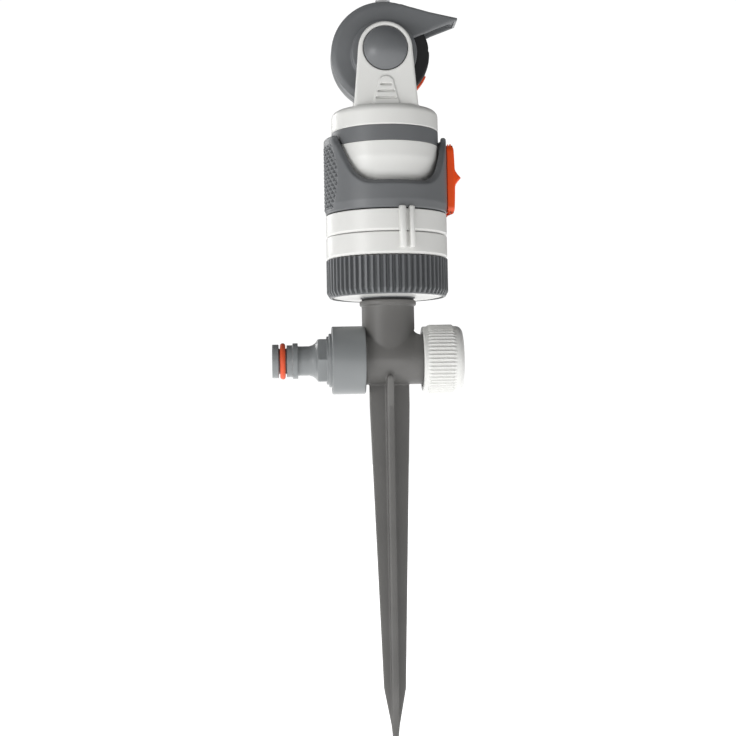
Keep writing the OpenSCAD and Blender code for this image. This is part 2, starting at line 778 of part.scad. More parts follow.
module range_tab() color("#c9caca") translate([0, 0, tilt_z]) intersection() {
    slab(-4.2, 4.2) union() {
        translate([-3.4, shell_r - 0.3]) square([6.8, 1.6]);
        translate([0, shell_r + 0.7]) circle(r = 2.1);
    }
    rotate([-90, 0, 0]) difference() {
        cylinder(r = shell_r + 3, h = 8.4, center = true);
        cylinder(r = shell_r + eps, h = 10, center = true);
    }
}

module trunnion_seals() color(rubber) for (y = [-12.5, 12.5])
    on_tilt_axis() translate([0, 0, y]) torus(trunnion_r - 0.72, 0.7);

// Domed disc that closes the end of a trunnion; it stands out along +Z as drawn.
module hub_cap() {
    base_r = 10.3;
    rise = 4.5;
    dome_r = (base_r * base_r + rise * rise) / (2 * rise);
    face = arm_out_y - cap_seat_y;
    union() {
        rotate_extrude() intersection() {
            translate([0, face + rise - dome_r]) circle(r = dome_r, $fn = 160);
            translate([0, 0.1]) square([base_r, face + rise]);
        }
        rod(3.9, -4, 0.2);
    }
}

module front_hub_cap() color(grey)
    translate([0, -cap_seat_y, tilt_z]) rotate([90, 0, 0]) hub_cap();
module rear_hub_cap() color(grey)
    translate([0, cap_seat_y, tilt_z]) rotate([-90, 0, 0]) hub_cap();

tee_spike();
inlet_connector();
inlet_o_ring();
inlet_washer();
filter_screen();
neck_washer();
threaded_boss();
base_plate();
base_screws();
grip_ring();
drive_housing();
shaft_seal();
stator();
lower_gear_plate();
upper_gear_plate();
gear_pillars();
centre_arbor();
side_arbor();
detent_spring();
thrust_washer();
turbine_wheel();
first_gear();
second_gear();
third_gear();
output_gear();
output_shaft();
collar();
collar_screws();
turret_bowl();
turret_band();
band_seal();
yoke();
trip_sleeve();
reversing_plate();
lower_sector_ring();
upper_sector_ring();
selector_slide();
front_shell();
rear_shell();
shell_screws();
nozzle_drum();
nozzle_insert();
range_marker();
range_tab();
trunnion_seals();
front_hub_cap();
rear_hub_cap();
end_cap();
cap_seal();
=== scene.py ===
import json
import math

import bmesh
import bpy
import numpy as np
from mathutils import Matrix, Vector


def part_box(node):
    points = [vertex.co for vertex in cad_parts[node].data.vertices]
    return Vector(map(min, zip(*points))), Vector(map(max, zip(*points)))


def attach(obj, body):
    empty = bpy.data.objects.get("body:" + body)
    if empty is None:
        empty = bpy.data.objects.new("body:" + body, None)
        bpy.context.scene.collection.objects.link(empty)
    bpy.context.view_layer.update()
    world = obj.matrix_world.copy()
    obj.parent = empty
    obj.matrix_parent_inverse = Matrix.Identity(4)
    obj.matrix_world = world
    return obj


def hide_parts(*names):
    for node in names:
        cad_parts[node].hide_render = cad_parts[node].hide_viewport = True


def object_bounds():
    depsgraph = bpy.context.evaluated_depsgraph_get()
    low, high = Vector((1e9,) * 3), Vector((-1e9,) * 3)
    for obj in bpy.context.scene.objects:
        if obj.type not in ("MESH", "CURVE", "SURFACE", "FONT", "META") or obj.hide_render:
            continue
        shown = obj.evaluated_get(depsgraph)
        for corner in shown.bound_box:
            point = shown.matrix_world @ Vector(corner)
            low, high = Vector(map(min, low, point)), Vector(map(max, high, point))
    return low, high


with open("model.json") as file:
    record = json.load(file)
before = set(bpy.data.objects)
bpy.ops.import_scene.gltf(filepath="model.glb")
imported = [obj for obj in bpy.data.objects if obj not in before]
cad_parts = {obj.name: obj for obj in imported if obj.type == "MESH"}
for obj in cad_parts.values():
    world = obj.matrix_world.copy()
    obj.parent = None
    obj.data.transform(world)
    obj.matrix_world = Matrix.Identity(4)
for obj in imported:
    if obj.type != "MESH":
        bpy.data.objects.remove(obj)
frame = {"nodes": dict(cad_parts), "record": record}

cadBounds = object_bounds()
mm = 0.001
coarse = 1.0


def nodeBox(name):
    low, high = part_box(name)
    return np.array(low) / mm, np.array(high) / mm


# Levels and axes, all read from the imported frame, in millimetres.
capLow, capHigh = nodeBox("end_cap")
inletZ = (capLow[2] + capHigh[2]) / 2
drumLow, drumHigh = nodeBox("nozzle_drum")
tiltZ = (drumLow[2] + drumHigh[2]) / 2
connectorLow, connectorHigh = nodeBox("inlet_connector")
spikeLow, spikeHigh = nodeBox("tee_spike")
gripLow, gripHigh = nodeBox("grip_ring")
lowerRingLow = nodeBox("lower_sector_ring")[0]
collarLow, collarHigh = nodeBox("collar")
bowlLow, bowlHigh = nodeBox("turret_bowl")
bandLow, bandHigh = nodeBox("turret_band")
yokeLow, yokeHigh = nodeBox("yoke")
selectorLow, selectorHigh = nodeBox("selector_slide")
plateLow, plateHigh = nodeBox("base_plate")
hubLow, hubHigh = nodeBox("front_hub_cap")
collarTurn = math.degrees(math.atan2(selectorLow[1] + selectorHigh[1], selectorLow[0] + selectorHigh[0]))

# Materials.


def toLinear(hexColour):
    parts = [int(hexColour[i:i + 2], 16) / 255 for i in (1, 3, 5)]
    return [p / 12.92 if p <= 0.04045 else ((p + 0.055) / 1.055) ** 2.4 for p in parts] + [1.0]


def addNode(tree, kind, settings=None, links=None):
    node = tree.nodes.new(kind)
    for key, value in (settings or {}).items():
        if isinstance(key, str) and hasattr(node, key):
            setattr(node, key, value)
        else:
            node.inputs[key].default_value = value
    for key, source in (links or {}).items():
        tree.links.new(source, node.inputs[key])
    return node


def moulded(name, cfg):
    material = bpy.data.materials.new(name)
    material.use_nodes = True
    tree = material.node_tree
    tree.nodes.clear()
    place = addNode(tree, "ShaderNodeTexCoord")
    flow = addNode(tree, "ShaderNodeTexNoise", {"Scale": 1000 / cfg["flowMm"], "Detail": 3.0},
                   {"Vector": place.outputs["Object"]})
    grain = addNode(tree, "ShaderNodeTexNoise", {"Scale": 1000 / cfg["grainMm"], "Detail": 2.0},
                    {"Vector": place.outputs["Object"]})
    tone = addNode(tree, "ShaderNodeValToRGB", None, {"Fac": flow.outputs["Fac"]})
    tone.color_ramp.elements[0].position = 0.3
    tone.color_ramp.elements[0].color = toLinear(cfg["shade"])
    tone.color_ramp.elements[1].position = 0.7
    tone.color_ramp.elements[1].color = toLinear(cfg["colour"])
    sheen = addNode(tree, "ShaderNodeMapRange",
                    {"To Min": cfg["rough"] - cfg["roughSpread"],
                      "To Max": cfg["rough"] + cfg["roughSpread"]},
                    {"Value": grain.outputs["Fac"]})
    bump = addNode(tree, "ShaderNodeBump", {"Strength": cfg["bump"], "Distance": cfg["grainMm"] * mm * 0.12},
                   {"Height": grain.outputs["Fac"]})
    shader = addNode(tree, "ShaderNodeBsdfPrincipled",
                     {"IOR": cfg.get("ior", 1.5), "Metallic": cfg.get("metallic", 0.0),
                      "Coat Weight": cfg.get("coat", 0.0), "Coat Roughness": 0.25},
                     {"Base Color": tone.outputs["Color"], "Roughness": sheen.outputs["Result"],
                      "Normal": bump.outputs["Normal"]})
    addNode(tree, "ShaderNodeOutputMaterial", None, {"Surface": shader.outputs["BSDF"]})
    return material


# The grain of the moulds is about 0.1 mm; it is drawn at 0.5 to 0.9 mm so that it shows at all.
finishes = {
    # glass-filled polypropylene: dull, faintly streaked along the flow
    "spike_grey_pp": {"name": "glass filled polypropylene", "colour": "#676664", "shade": "#5f5e5c",
                      "rough": 0.46, "roughSpread": 0.06,
                      "flowMm": 26, "grainMm": 0.8, "bump": 0.22},
    # satin ABS from an etched mould: wide soft highlights
    "dark_grey_abs": {"name": "etched dark grey abs", "colour": "#6a6c6e", "shade": "#636567",
                      "rough": 0.42, "roughSpread": 0.05,
                      "flowMm": 30, "grainMm": 0.6, "bump": 0.18},
    "grey_abs": {"name": "satin grey abs", "colour": "#6d6f71", "shade": "#66686a",
                      "rough": 0.36, "roughSpread": 0.05,
                 "flowMm": 22, "grainMm": 0.6, "bump": 0.14},
    "light_grey_abs": {"name": "satin pale grey abs", "colour": "#cfd0d0", "shade": "#c8c9c9",
                      "rough": 0.42, "roughSpread": 0.05,
                       "flowMm": 22, "grainMm": 0.6, "bump": 0.12},
    # white ABS from a finer mould: soft gloss, very slightly warm
    "white_abs": {"name": "white moulded abs", "colour": "#e0e0dd", "shade": "#dadad7",
                      "rough": 0.33, "roughSpread": 0.04,
                  "flowMm": 34, "grainMm": 0.6, "bump": 0.08, "coat": 0.08},
    "black_abs": {"name": "black moulded abs", "colour": "#1d1e20", "shade": "#18191a",
                      "rough": 0.38, "roughSpread": 0.06,
                  "flowMm": 20, "grainMm": 0.6, "bump": 0.15},
    # pigmented ABS, glossier because fingers polish it
    "orange_abs": {"name": "orange moulded abs", "colour": "#fb5512", "shade": "#f24d0e",
                      "rough": 0.3, "roughSpread": 0.04,
                   "flowMm": 14, "grainMm": 0.5, "bump": 0.1, "coat": 0.1},
    # silicone: soft, slightly translucent look from a low sheen
    "orange_rubber": {"name": "orange silicone", "colour": "#e05a34", "shade": "#d5502c",
                      "rough": 0.5, "roughSpread": 0.05,
                      "flowMm": 8, "grainMm": 0.5, "bump": 0.12, "ior": 1.41},
    "black_rubber": {"name": "black nitrile rubber", "colour": "#202020", "shade": "#191919",
                      "rough": 0.65, "roughSpread": 0.08,
                     "flowMm": 10, "grainMm": 0.5, "bump": 0.2, "ior": 1.52},
    # natural acetal: waxy, creamy white
    "natural_acetal": {"name": "natural acetal", "colour": "#e2dccb", "shade": "#d9d2bf",
                      "rough": 0.4, "roughSpread": 0.05,
                       "flowMm": 12, "grainMm": 0.5, "bump": 0.08, "ior": 1.48},
    # drawn stainless steel: bright with fine cloudiness
    "stainless_steel": {"name": "drawn stainless steel", "colour": "#c4c7ca", "shade": "#b3b6b9",
                      "rough": 0.28, "roughSpread": 0.08,
                        "flowMm": 6, "grainMm": 0.4, "bump": 0.1, "metallic": 1.0},
}
# the connector shares dark grey abs with the collar; this lighter, glossier copy paints in the light that
# falls on its lower side
finishes["connector_grey_painted_lighter"] = dict(finishes["dark_grey_abs"], name="dark grey abs painted lighter", colour="#858889",
                                  shade="#7e8182", rough=0.3)
plastics = {slot: moulded(cfg["name"], cfg) for slot, cfg in finishes.items()}
print("materials:", len(plastics))

# Solids drawn as distance fields.
# A field is negative inside. Lengths are in millimetres.


def join(a, b, r):
    return np.maximum(np.minimum(a, b), r) - np.hypot(np.maximum(r - a, 0), np.maximum(r - b, 0))


def meet(a, b, r):
    return np.minimum(np.maximum(a, b), -r) + np.hypot(np.maximum(r + a, 0), np.maximum(r + b, 0))


def cut(a, b, r):
    return meet(a, -b, r)


def rodField(across, along, r, low, high, edge):
    return meet(across - r, np.maximum(low - along, along - high), edge)


def boxField(x, y, z, low, high, edge):
    d = [np.maximum(lo - v, v - hi) + edge for v, lo, hi in zip((x, y, z), low, high)]
    out = np.sqrt(np.maximum(d[0], 0) ** 2 + np.maximum(d[1], 0) ** 2 + np.maximum(d[2], 0) ** 2)
    return out + np.minimum(np.maximum(np.maximum(d[0], d[1]), d[2]), 0) - edge


def outlineField(u, v, points):
    points = [np.array(p, float) for p in points]
    nearest = None
    inside = None
    for a, b in zip(points, points[1:] + points[:1]):
        edge = b - a
        pu, pv = u - a[0], v - a[1]
        t = np.clip((pu * edge[0] + pv * edge[1]) / edge.dot(edge), 0, 1)
        d = (pu - t * edge[0]) ** 2 + (pv - t * edge[1]) ** 2
        nearest = d if nearest is None else np.minimum(nearest, d)
        if abs(edge[1]) > 1e-9:
            crosses = ((a[1] <= v) != (b[1] <= v)) & (u < a[0] + (v - a[1]) * edge[0] / edge[1])
            inside = crosses if inside is None else inside ^ crosses
    return np.where(inside, -1.0, 1.0) * np.sqrt(nearest)


def spread(low, high, step):
    count = max(2, int(math.ceil((high - low) / step)) + 1)
    return np.linspace(low, high, count)


def fieldMesh(name, field, axes):
    gx, gy, gz = axes
    values = np.broadcast_to(field(gx[:, None, None], gy[None, :, None], gz[None, None, :]),
                             (len(gx), len(gy), len(gz)))
    cells = np.array(values.shape) - 1
    total = np.zeros((int(np.prod(cells)), 3))
    count = np.zeros(int(np.prod(cells)))
    strides = np.array([cells[1] * cells[2], cells[2], 1])
    quads = []
    for axis in range(3):
        a = values[tuple(slice(0, -1) if i == axis else slice(None) for i in range(3))]
        b = values[tuple(slice(1, None) if i == axis else slice(None) for i in range(3))]
        where = np.argwhere((a < 0) != (b < 0))
        va, vb = a[tuple(where.T)], b[tuple(where.T)]
        point = np.stack([ax[where[:, i]] for i, ax in enumerate(axes)], 1)
        line = axes[axis]
        point[:, axis] += va / (va - vb) * (line[where[:, axis] + 1] - line[where[:, axis]])
        p, q = (axis + 1) % 3, (axis + 2) % 3
        corner = []
        for dp, dq in ((1, 1), (0, 1), (0, 0), (1, 0)):
            cell = where.copy()
            cell[:, p] -= dp
            cell[:, q] -= dq
            index = cell @ strides
            for i in range(3):
                total[:, i] += np.bincount(index, point[:, i], len(total))
            count += np.bincount(index, minlength=len(count))
            corner.append(index)
        quad = np.stack(corner, 1)
        quad[va >= 0] = quad[va >= 0][:, ::-1]
        quads.append(quad)
    used = np.flatnonzero(count)
    number = np.full(len(count), -1)
    number[used] = np.arange(len(used))
    points = total[used] / count[used][:, None]
    for _ in range(4):
        h = 0.01
        f0 = field(points[:, 0], points[:, 1], points[:, 2])
        slope = np.stack([field(*(points[:, i] + (h if i == k else 0) for i in range(3))) - f0
                          for k in range(3)], 1) / h
        size = np.maximum((slope ** 2).sum(1), 0.05)
        points -= np.clip(f0 / size, -0.4, 0.4)[:, None] * slope
    return makePiece(name, points, number[np.concatenate(quads)], 180)


def makePiece(name, points, faces, sharpAngle=38):
    mesh = bpy.data.meshes.new(name)
    mesh.from_pydata((np.asarray(points) * mm).tolist(), [], [list(map(int, f)) for f in faces])
    mesh.update()
    mesh.polygons.foreach_set("use_smooth", [True] * len(mesh.polygons))
    if sharpAngle < 180:
        mesh.set_sharp_from_angle(angle=math.radians(sharpAngle))
    piece = bpy.data.objects.new(name, mesh)
    bpy.context.scene.collection.objects.link(piece)
    return piece


def roundedProfile(corners, steps=4):
    points = []
    for i, (r, z, radius) in enumerate(corners):
        here = np.array([r, z], float)
        before = np.array(corners[i - 1][:2], float) - here
        after = np.array(corners[(i + 1) % len(corners)][:2], float) - here
        lengths = np.linalg.norm(before), np.linalg.norm(after)
        before, after = before / lengths[0], after / lengths[1]
        half = math.acos(np.clip(before.dot(after), -1, 1)) / 2
        if radius <= 0 or half > 1.55:
            points.append(here)
            continue
        reach = min(radius / math.tan(half), 0.47 * min(lengths))
        radius = reach * math.tan(half)
        centre = here + (before + after) / np.linalg.norm(before + after) * radius / math.sin(half)
        start, end = here + before * reach - centre, here + after * reach - centre
        a0 = math.atan2(start[1], start[0])
        turn = (math.atan2(end[1], end[0]) - a0 + math.pi) % (2 * math.pi) - math.pi
        points.append(here + before * (reach + 0.06))
        bend = [a0 + turn * k / steps for k in range(steps + 1)]
        points += [centre + radius * np.array([math.cos(a), math.sin(a)]) for a in bend]
        points.append(here + after * (reach + 0.06))
    return np.array(points)


def lathe(name, corners, segments=144, axis="Z", offset=0.0, sharpAngle=50):
    profile = roundedProfile(corners)
    n = len(profile)
    turn = np.arange(segments) * 2 * math.pi / segments
    r, z = profile[:, 0][None, :], profile[:, 1][None, :]
    points = np.stack([r * np.cos(turn)[:, None], r * np.sin(turn)[:, None], z + 0 * turn[:, None]], 2)
    points = points.reshape(-1, 3)
    area = sum(profile[i - 1][0] * profile[i][1] - profile[i][0] * profile[i - 1][1] for i in range(n))
    faces = []
    for s in range(segments):
        t = (s + 1) % segments
        for i in range(n):
            j = (i + 1) % n
            if profile[i][0] < 1e-6 and profile[j][0] < 1e-6:
                continue
            quad = [s * n + i, t * n + i, t * n + j, s * n + j]
            faces.append(quad if area > 0 else quad[::-1])
    if axis == "X":
        points = points[:, [2, 0, 1]]
        points[:, 2] += offset
    if axis == "Y":
        points = points[:, [1, 2, 0]]
        points[:, 2] += offset
    piece = makePiece(name, points, faces, 180)
    shape = bmesh.new()
    shape.from_mesh(piece.data)
    bmesh.ops.remove_doubles(shape, verts=shape.verts, dist=1e-7)
    bmesh.ops.dissolve_degenerate(shape, edges=shape.edges, dist=1e-7)
    bmesh.ops.recalc_face_normals(shape, faces=shape.faces)
    shape.to_mesh(piece.data)
    shape.free()
    piece.data.set_sharp_from_angle(angle=math.radians(sharpAngle))
    return piece


def finishPiece(piece, body, node, plastic, finish=None):
    piece.data.materials.clear()
    piece.data.materials.append(plastics[finish or plastic])
    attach(piece, body)
    if node:
        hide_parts(node)
    print("piece", piece.name, len(piece.data.polygons), "faces")
    return piece


# What repeats: node trees.


def newTree(name, sockets):
    tree = bpy.data.node_groups.new(name, "GeometryNodeTree")
    tree.interface.new_socket("Geometry", in_out="INPUT", socket_type="NodeSocketGeometry")
    tree.interface.new_socket("Geometry", in_out="OUTPUT", socket_type="NodeSocketGeometry")
    for label, kind in sockets:
        tree.interface.new_socket(label, in_out="INPUT", socket_type=kind)
    return tree


def bakeTree(piece, tree, values):
    modifier = piece.modifiers.new("shape", "NODES")
    modifier.node_group = tree
    for socket in tree.interface.items_tree:
        if socket.in_out == "INPUT" and socket.name in values:
            modifier[socket.identifier] = values[socket.name]
    bpy.context.view_layer.update()
    mesh = bpy.data.meshes.new_from_object(piece.evaluated_get(bpy.context.evaluated_depsgraph_get()))
    piece.modifiers.clear()
    piece.data = mesh
    return piece


def ringTree():
    tree = newTree("ring_of_ribs", (("Count", "NodeSocketInt"), ("Material", "NodeSocketMaterial")))
    source = addNode(tree, "NodeGroupInput")
    line = addNode(tree, "GeometryNodeMeshLine", {"Offset": (0, 0, 0)}, {"Count": source.outputs["Count"]})
    index = addNode(tree, "GeometryNodeInputIndex")
    share = addNode(tree, "ShaderNodeMath", {"operation": "DIVIDE"},
                    {0: index.outputs[0], 1: source.outputs["Count"]})
    angle = addNode(tree, "ShaderNodeMath", {"operation": "MULTIPLY", 1: 2 * math.pi}, {0: share.outputs[0]})
    turn = addNode(tree, "ShaderNodeCombineXYZ", None, {"Z": angle.outputs[0]})
    rotation = addNode(tree, "FunctionNodeEulerToRotation", None, {0: turn.outputs[0]})
    copies = addNode(tree, "GeometryNodeInstanceOnPoints", None,
                     {"Points": line.outputs[0], "Instance": source.outputs["Geometry"],
                      "Rotation": rotation.outputs[0]})
    real = addNode(tree, "GeometryNodeRealizeInstances", None, {0: copies.outputs[0]})
    merged = addNode(tree, "GeometryNodeMergeByDistance", {"Distance": 0.02 * mm}, {0: real.outputs[0]})
    finish = addNode(tree, "GeometryNodeSetMaterial", None,
                     {"Geometry": merged.outputs[0], "Material": source.outputs["Material"]})
    addNode(tree, "NodeGroupOutput", None, {0: finish.outputs[0]})
    return tree


ribRing = ringTree()


def smoothAll(piece, angle=50):
    piece.data.polygons.foreach_set("use_smooth", [True] * len(piece.data.polygons))
    piece.data.set_sharp_from_angle(angle=math.radians(angle))


# Spike and tee.

spikeSettings = {
    "barrel": 11.85,
    "neck": 12.5,
    "seam": 1.3,           # how far the moulded V stands proud of the neck
    "crotch": 4.6,         # fillet between neck and barrel
    "thread": 13.2,
    "blade": 3.2,          # thickness
    "bladeHalf": 9.5,      # at the soil line
    "heelHalf": 5.2,
    "heelShare": 0.85,     # of the depth
    "ribTop": 10.6,        # where the front rib ends on the barrel
    "ribReach": 12.75,
    "stubIn": (-24.1, -11.0),
    "stubOut": (16.9, 26.0),
    "pitch": 1.814,
    "threadDepth": 0.85,
    "waterway": 9.0,       # bore along the barrel
    "riser": 7.5,          # bore up the neck
    "step": 0.5,
}


def threadField(x, y, z, r, span, pitch, depth):
    around = np.hypot(y, z)
    phase = x / pitch - np.arctan2(z, y) / (2 * math.pi)
    wave = np.abs(phase - np.round(phase)) * 2      # 0 on the crest, 1 in the root
    return meet(around - (r - depth * wave), np.maximum(span[0] - x, x - span[1]), 0.2)


def teeSpikeField(x, y, z):
    cfg = spikeSettings
    dz = z - inletZ
    barrel = rodField(np.hypot(y, dz), x, cfg["barrel"], cfg["stubIn"][1] - 1, cfg["stubOut"][0] + 0.4, 0.3)
    neckTop = spikeHigh[2]
    core = rodField(np.hypot(x, y), z, cfg["neck"] - cfg["seam"], inletZ, neckTop - 0.3, 0.2)
    body = join(barrel, core, cfg["crotch"])
    sleeve = rodField(np.hypot(x, y), z, cfg["neck"], inletZ + 3.2, neckTop - 1.0, 0.35)
    wedge = (np.abs(x) - 3.0 - np.maximum(dz - 3.2, 0) * 0.86) / 1.3
    body = join(body, meet(sleeve, wedge, 0.25), 0.15)
    lip = rodField(np.hypot(x, y), z, cfg["neck"] + 0.95, neckTop - 2.4, neckTop - 0.05, 0.5)
    body = join(body, lip, 0.5)
    for span in (cfg["stubIn"], cfg["stubOut"]):
        body = np.minimum(body, threadField(x, y, dz, cfg["thread"], span, cfg["pitch"], cfg["threadDepth"]))
    depth = -spikeLow[2]
    heel = -cfg["heelShare"] * depth

    def halfAt(high, top):
        return np.interp(high, [-depth, 3 - depth, heel, -4, top[1]],
                         [0.1, 1.2, cfg["heelHalf"], cfg["bladeHalf"], top[0]])

    wide = halfAt(z, (cfg["bladeHalf"], 6))
    deep = halfAt(z, (cfg["ribReach"], cfg["ribTop"] - 2))
    sideBlade = meet(np.abs(x) - wide, meet(np.abs(y) - cfg["blade"] / 2, z - inletZ, 0.2), 0.55)
    ribEnd = np.hypot(x, np.maximum(z - cfg["ribTop"] + 1.6, 0)) - cfg["blade"] / 2
    ribSide = np.where(z > cfg["ribTop"] - 1.6, ribEnd, np.abs(x) - cfg["blade"] / 2)
    frontBlade = meet(np.abs(y) - deep, ribSide, 0.9)
    blades = join(sideBlade, frontBlade, 0.6)
    blades = meet(blades, -depth - z, 0.05)
    body = join(body, blades, 0.45)
    bore = rodField(np.hypot(y, dz), x, cfg["waterway"], -40, 40, 0.1)
    body = cut(body, bore, 0.3)
    return cut(body, rodField(np.hypot(x, y), z, cfg["riser"], inletZ, neckTop + 5, 0.1), 0.3)


step = spikeSettings["step"] * coarse
spikeAxes = (spread(spikeLow[0] - 1, spikeHigh[0] + 1, step), spread(-14.5, 14.5, step),
             np.concatenate([spread(spikeLow[2] - 1, -142, 1.0), spread(-140, -8, 2.2),
                             spread(-7.4, spikeHigh[2] + 1, step)]))
teeSpike = fieldMesh("tee_spike_moulded", teeSpikeField, spikeAxes)
finishPiece(teeSpike, "base", "tee_spike", "spike_grey_pp")

# Inlet connector.

connectorSettings = {
    "nipple": [(0, 4.8), (0, 8.0), (3.1, 8.0), (3.1, 6.0), (6.9, 6.0), (6.9, 7.6), (9.7, 7.6), (9.7, 8.5),
               (12.2, 8.5), (12.2, 7.0), (17.5, 7.0), (19.2, 7.5), (20.5, 8.4), (21.5, 9.8), (26.0, 9.8),
               (26.0, 4.8)],
    "bore": 4.8,
    "hexFlats": 20.0,
    "hexSpan": (21.5, 25.9),
    "flanges": [(25.8, 27.0, 11.5), (26.9, 28.5, 12.8)],
    "rim": 28.4,
    "rimRadius": 16.15,
    "socketFloor": 29.9,
    "socketBore": 13.3,
    "step": 0.42,
}


def connectorField(x, y, z):
    cfg = connectorSettings
    dz = z - inletZ
    along = x - connectorLow[0]
    around = np.hypot(y, dz)
    body = outlineField(around, along, [(r, a) for a, r in cfg["nipple"]])
    cos60, sin60 = 0.5, 0.8660254    # the hexagon's other sides lean at 60 degrees
    leaning = np.maximum(np.abs(dz * cos60 + y * sin60), np.abs(dz * cos60 - y * sin60))
    flats = np.maximum(np.abs(dz), leaning)
    low, high = cfg["hexSpan"]
    hexagon = meet(flats - cfg["hexFlats"] / 2, np.maximum(low - along, along - high), 0.35)
    hexagon = meet(hexagon, (around - 11.0 - (along - low) * 1.0) / 1.42, 0.3)
    body = join(body, hexagon, 0.3)
    for low, high, r in cfg["flanges"]:
        body = join(body, rodField(around, along, r, low, high, 0.35), 0.15)
    open_ = connectorHigh[0] - connectorLow[0]
    body = join(body, rodField(around, along, cfg["rimRadius"], cfg["rim"], open_, 0.6), 0.2)
    body = cut(body, rodField(around, along, cfg["bore"], -5, 60, 0.1), 0.3)
    return cut(body, rodField(around, along, cfg["socketBore"], cfg["socketFloor"], 60, 0.1), 0.3)


step = connectorSettings["step"] * coarse
connector = fieldMesh("inlet_connector_moulded", connectorField,
                      (spread(connectorLow[0] - 1, connectorHigh[0] + 1, step), spread(-17.2, 17.2, step),
                       spread(inletZ - 17.2, inletZ + 17.2, step)))
# the connector takes the copy of dark grey abs painted lighter for the light that falls on it
finishPiece(connector, "base", "inlet_connector", "dark_grey_abs", "connector_grey_painted_lighter")

# End cap.

capSettings = {
    "ribs": 54,
    "ribHeight": 0.8,
    "ribShare": 0.62,      # of the pitch
    "ribFrom": 2.6,        # from the open edge
    "ribTo": 4.4,          # from the outer face
    "corner": 3.0,
    "bore": 13.35,
    "floor": 28.2,
}


def capTile(cfg, radius, low, high):
    profile = roundedProfile([(cfg["bore"], low, 0.3), (radius, low, 0.7), (radius, high, cfg["corner"]),
                              (0.4, high, 0), (0.4, cfg["floor"], 0), (cfg["bore"], cfg["floor"], 0.4)])
    rows = []
    for a, b in zip(profile, np.roll(profile, -1, 0)):
        count = 22 if abs(a[0] - radius) < 0.01 and abs(b[0] - radius) < 0.01 and abs(b[1] - a[1]) > 5 else 1
        rows += [a + (b - a) * k / count for k in range(count)]
    rows = np.array(rows)
    half = math.pi / cfg["ribs"]
    columns = np.linspace(-half, half, 11)
    ribHalf = half * cfg["ribShare"]
    start, end = low + cfg["ribFrom"], high - cfg["ribTo"]
    points = []
    for c in columns:
        for r, a in rows:
            if r > radius - 0.02:
                side = max(0.0, 1 - (c / ribHalf) ** 2)
                near = min((a - start) / 0.9, (end - a) / 0.9, 1.0)
                r = r + cfg["ribHeight"] * math.sqrt(side) * math.sqrt(max(0.0, 1 - (1 - max(near, 0)) ** 2))
            points.append((r * math.cos(c), r * math.sin(c), a))
    n = len(rows)
    faces = [[s * n + i, (s + 1) * n + i, (s + 1) * n + (i + 1) % n, s * n + (i + 1) % n]
             for s in range(len(columns) - 1) for i in range(n)
             if rows[i][0] > 0.5 or rows[(i + 1) % n][0] > 0.5]
    return points, faces


cfg = capSettings
capRoot = capHigh[2] - inletZ - cfg["ribHeight"]
cap = makePiece("end_cap_ribbed", *capTile(cfg, capRoot, capLow[0], capHigh[0]))
bakeTree(cap, ribRing, {"Count": cfg["ribs"], "Material": plastics["white_abs"]})
cap.data.transform(Matrix.Rotation(math.radians(90), 4, "Y"))
cap.data.transform(Matrix.Translation((0, 0, inletZ * mm)))
shape = bmesh.new()
shape.from_mesh(cap.data)
bmesh.ops.holes_fill(shape, edges=shape.edges, sides=0)
bmesh.ops.recalc_face_normals(shape, faces=shape.faces)
shape.to_mesh(cap.data)
shape.free()
smoothAll(cap, 55)
finishPiece(cap, "end_cap", "end_cap", "white_abs")

# Base plate and grip ring.

plateR = plateHigh[0]
basePlate = lathe("base_plate_moulded", [
    (13.1, plateLow[2], 0.3), (plateR - 3, plateLow[2], 0.6), (plateR, plateLow[2] + 0.61, 0.3),
    (plateR, plateHigh[2], 0.2), (9.1, plateHigh[2], 0.2), (9.1, plateLow[2] + 1, 0),
    (13.1, plateLow[2] + 1, 0)])
finishPiece(basePlate, "base", "base_plate", "white_abs")

gripSettings = {
    "ribs": 62,
    "grooveDepth": 1.9,
    "grooveShare": 0.68,     # of the pitch
    "foot": 1.5,             # how far the lower edge stands in
    "footHeight": 2.6,
    "bore": 25.6,
}


def gripTile(cfg, radius, low, high):
    corners = [(cfg["bore"] + 0.9, low, 0), (radius - cfg["foot"], low, 0.9),
               (radius, low + cfg["footHeight"], 1.6), (radius, high, 0.25), (cfg["bore"], high, 0),
               (cfg["bore"], low + 3, 0), (cfg["bore"] + 0.9, low + 3, 0)]
    profile = roundedProfile(corners, 6)
    rows = []
    for a, b in zip(profile, np.roll(profile, -1, 0)):
        long = np.linalg.norm(b - a)
        count = max(1, int(long / 1.6)) if a[0] > radius - 2 and b[0] > radius - 2 else 1
        rows += [a + (b - a) * k / count for k in range(count)]
    rows = np.array(rows)
    half = math.pi / cfg["ribs"]
    grooveHalf = half * cfg["grooveShare"]
    columns = np.concatenate([[-half], np.linspace(-grooveHalf, grooveHalf, 13), [half]])
    points = []
    for c in columns:
        deep = cfg["grooveDepth"] * max(0.0, 1 - abs(c / grooveHalf) ** 3) ** 0.5
        for r, z in rows:
            # the groove's floor slopes up at its foot, so that it ends in an arch
            floor = radius - deep * min(1.0, max(0.0, (z - low - 1.3) / 0.9)) ** 0.5
            if r > radius - 2:
                r = min(r, floor)
            points.append((r * math.cos(c), r * math.sin(c), z))
    n = len(rows)
    faces = [[s * n + i, (s + 1) * n + i, (s + 1) * n + (i + 1) % n, s * n + (i + 1) % n]
             for s in range(len(columns) - 1) for i in range(n)]
    return points, faces


cfg = gripSettings
grip = makePiece("grip_ring_ribbed", *gripTile(cfg, gripHigh[0], gripLow[2], gripHigh[2]))
bakeTree(grip, ribRing, {"Count": cfg["ribs"], "Material": plastics["dark_grey_abs"]})
smoothAll(grip, 48)
finishPiece(grip, "base", "grip_ring", "dark_grey_abs")

# Sector rings.

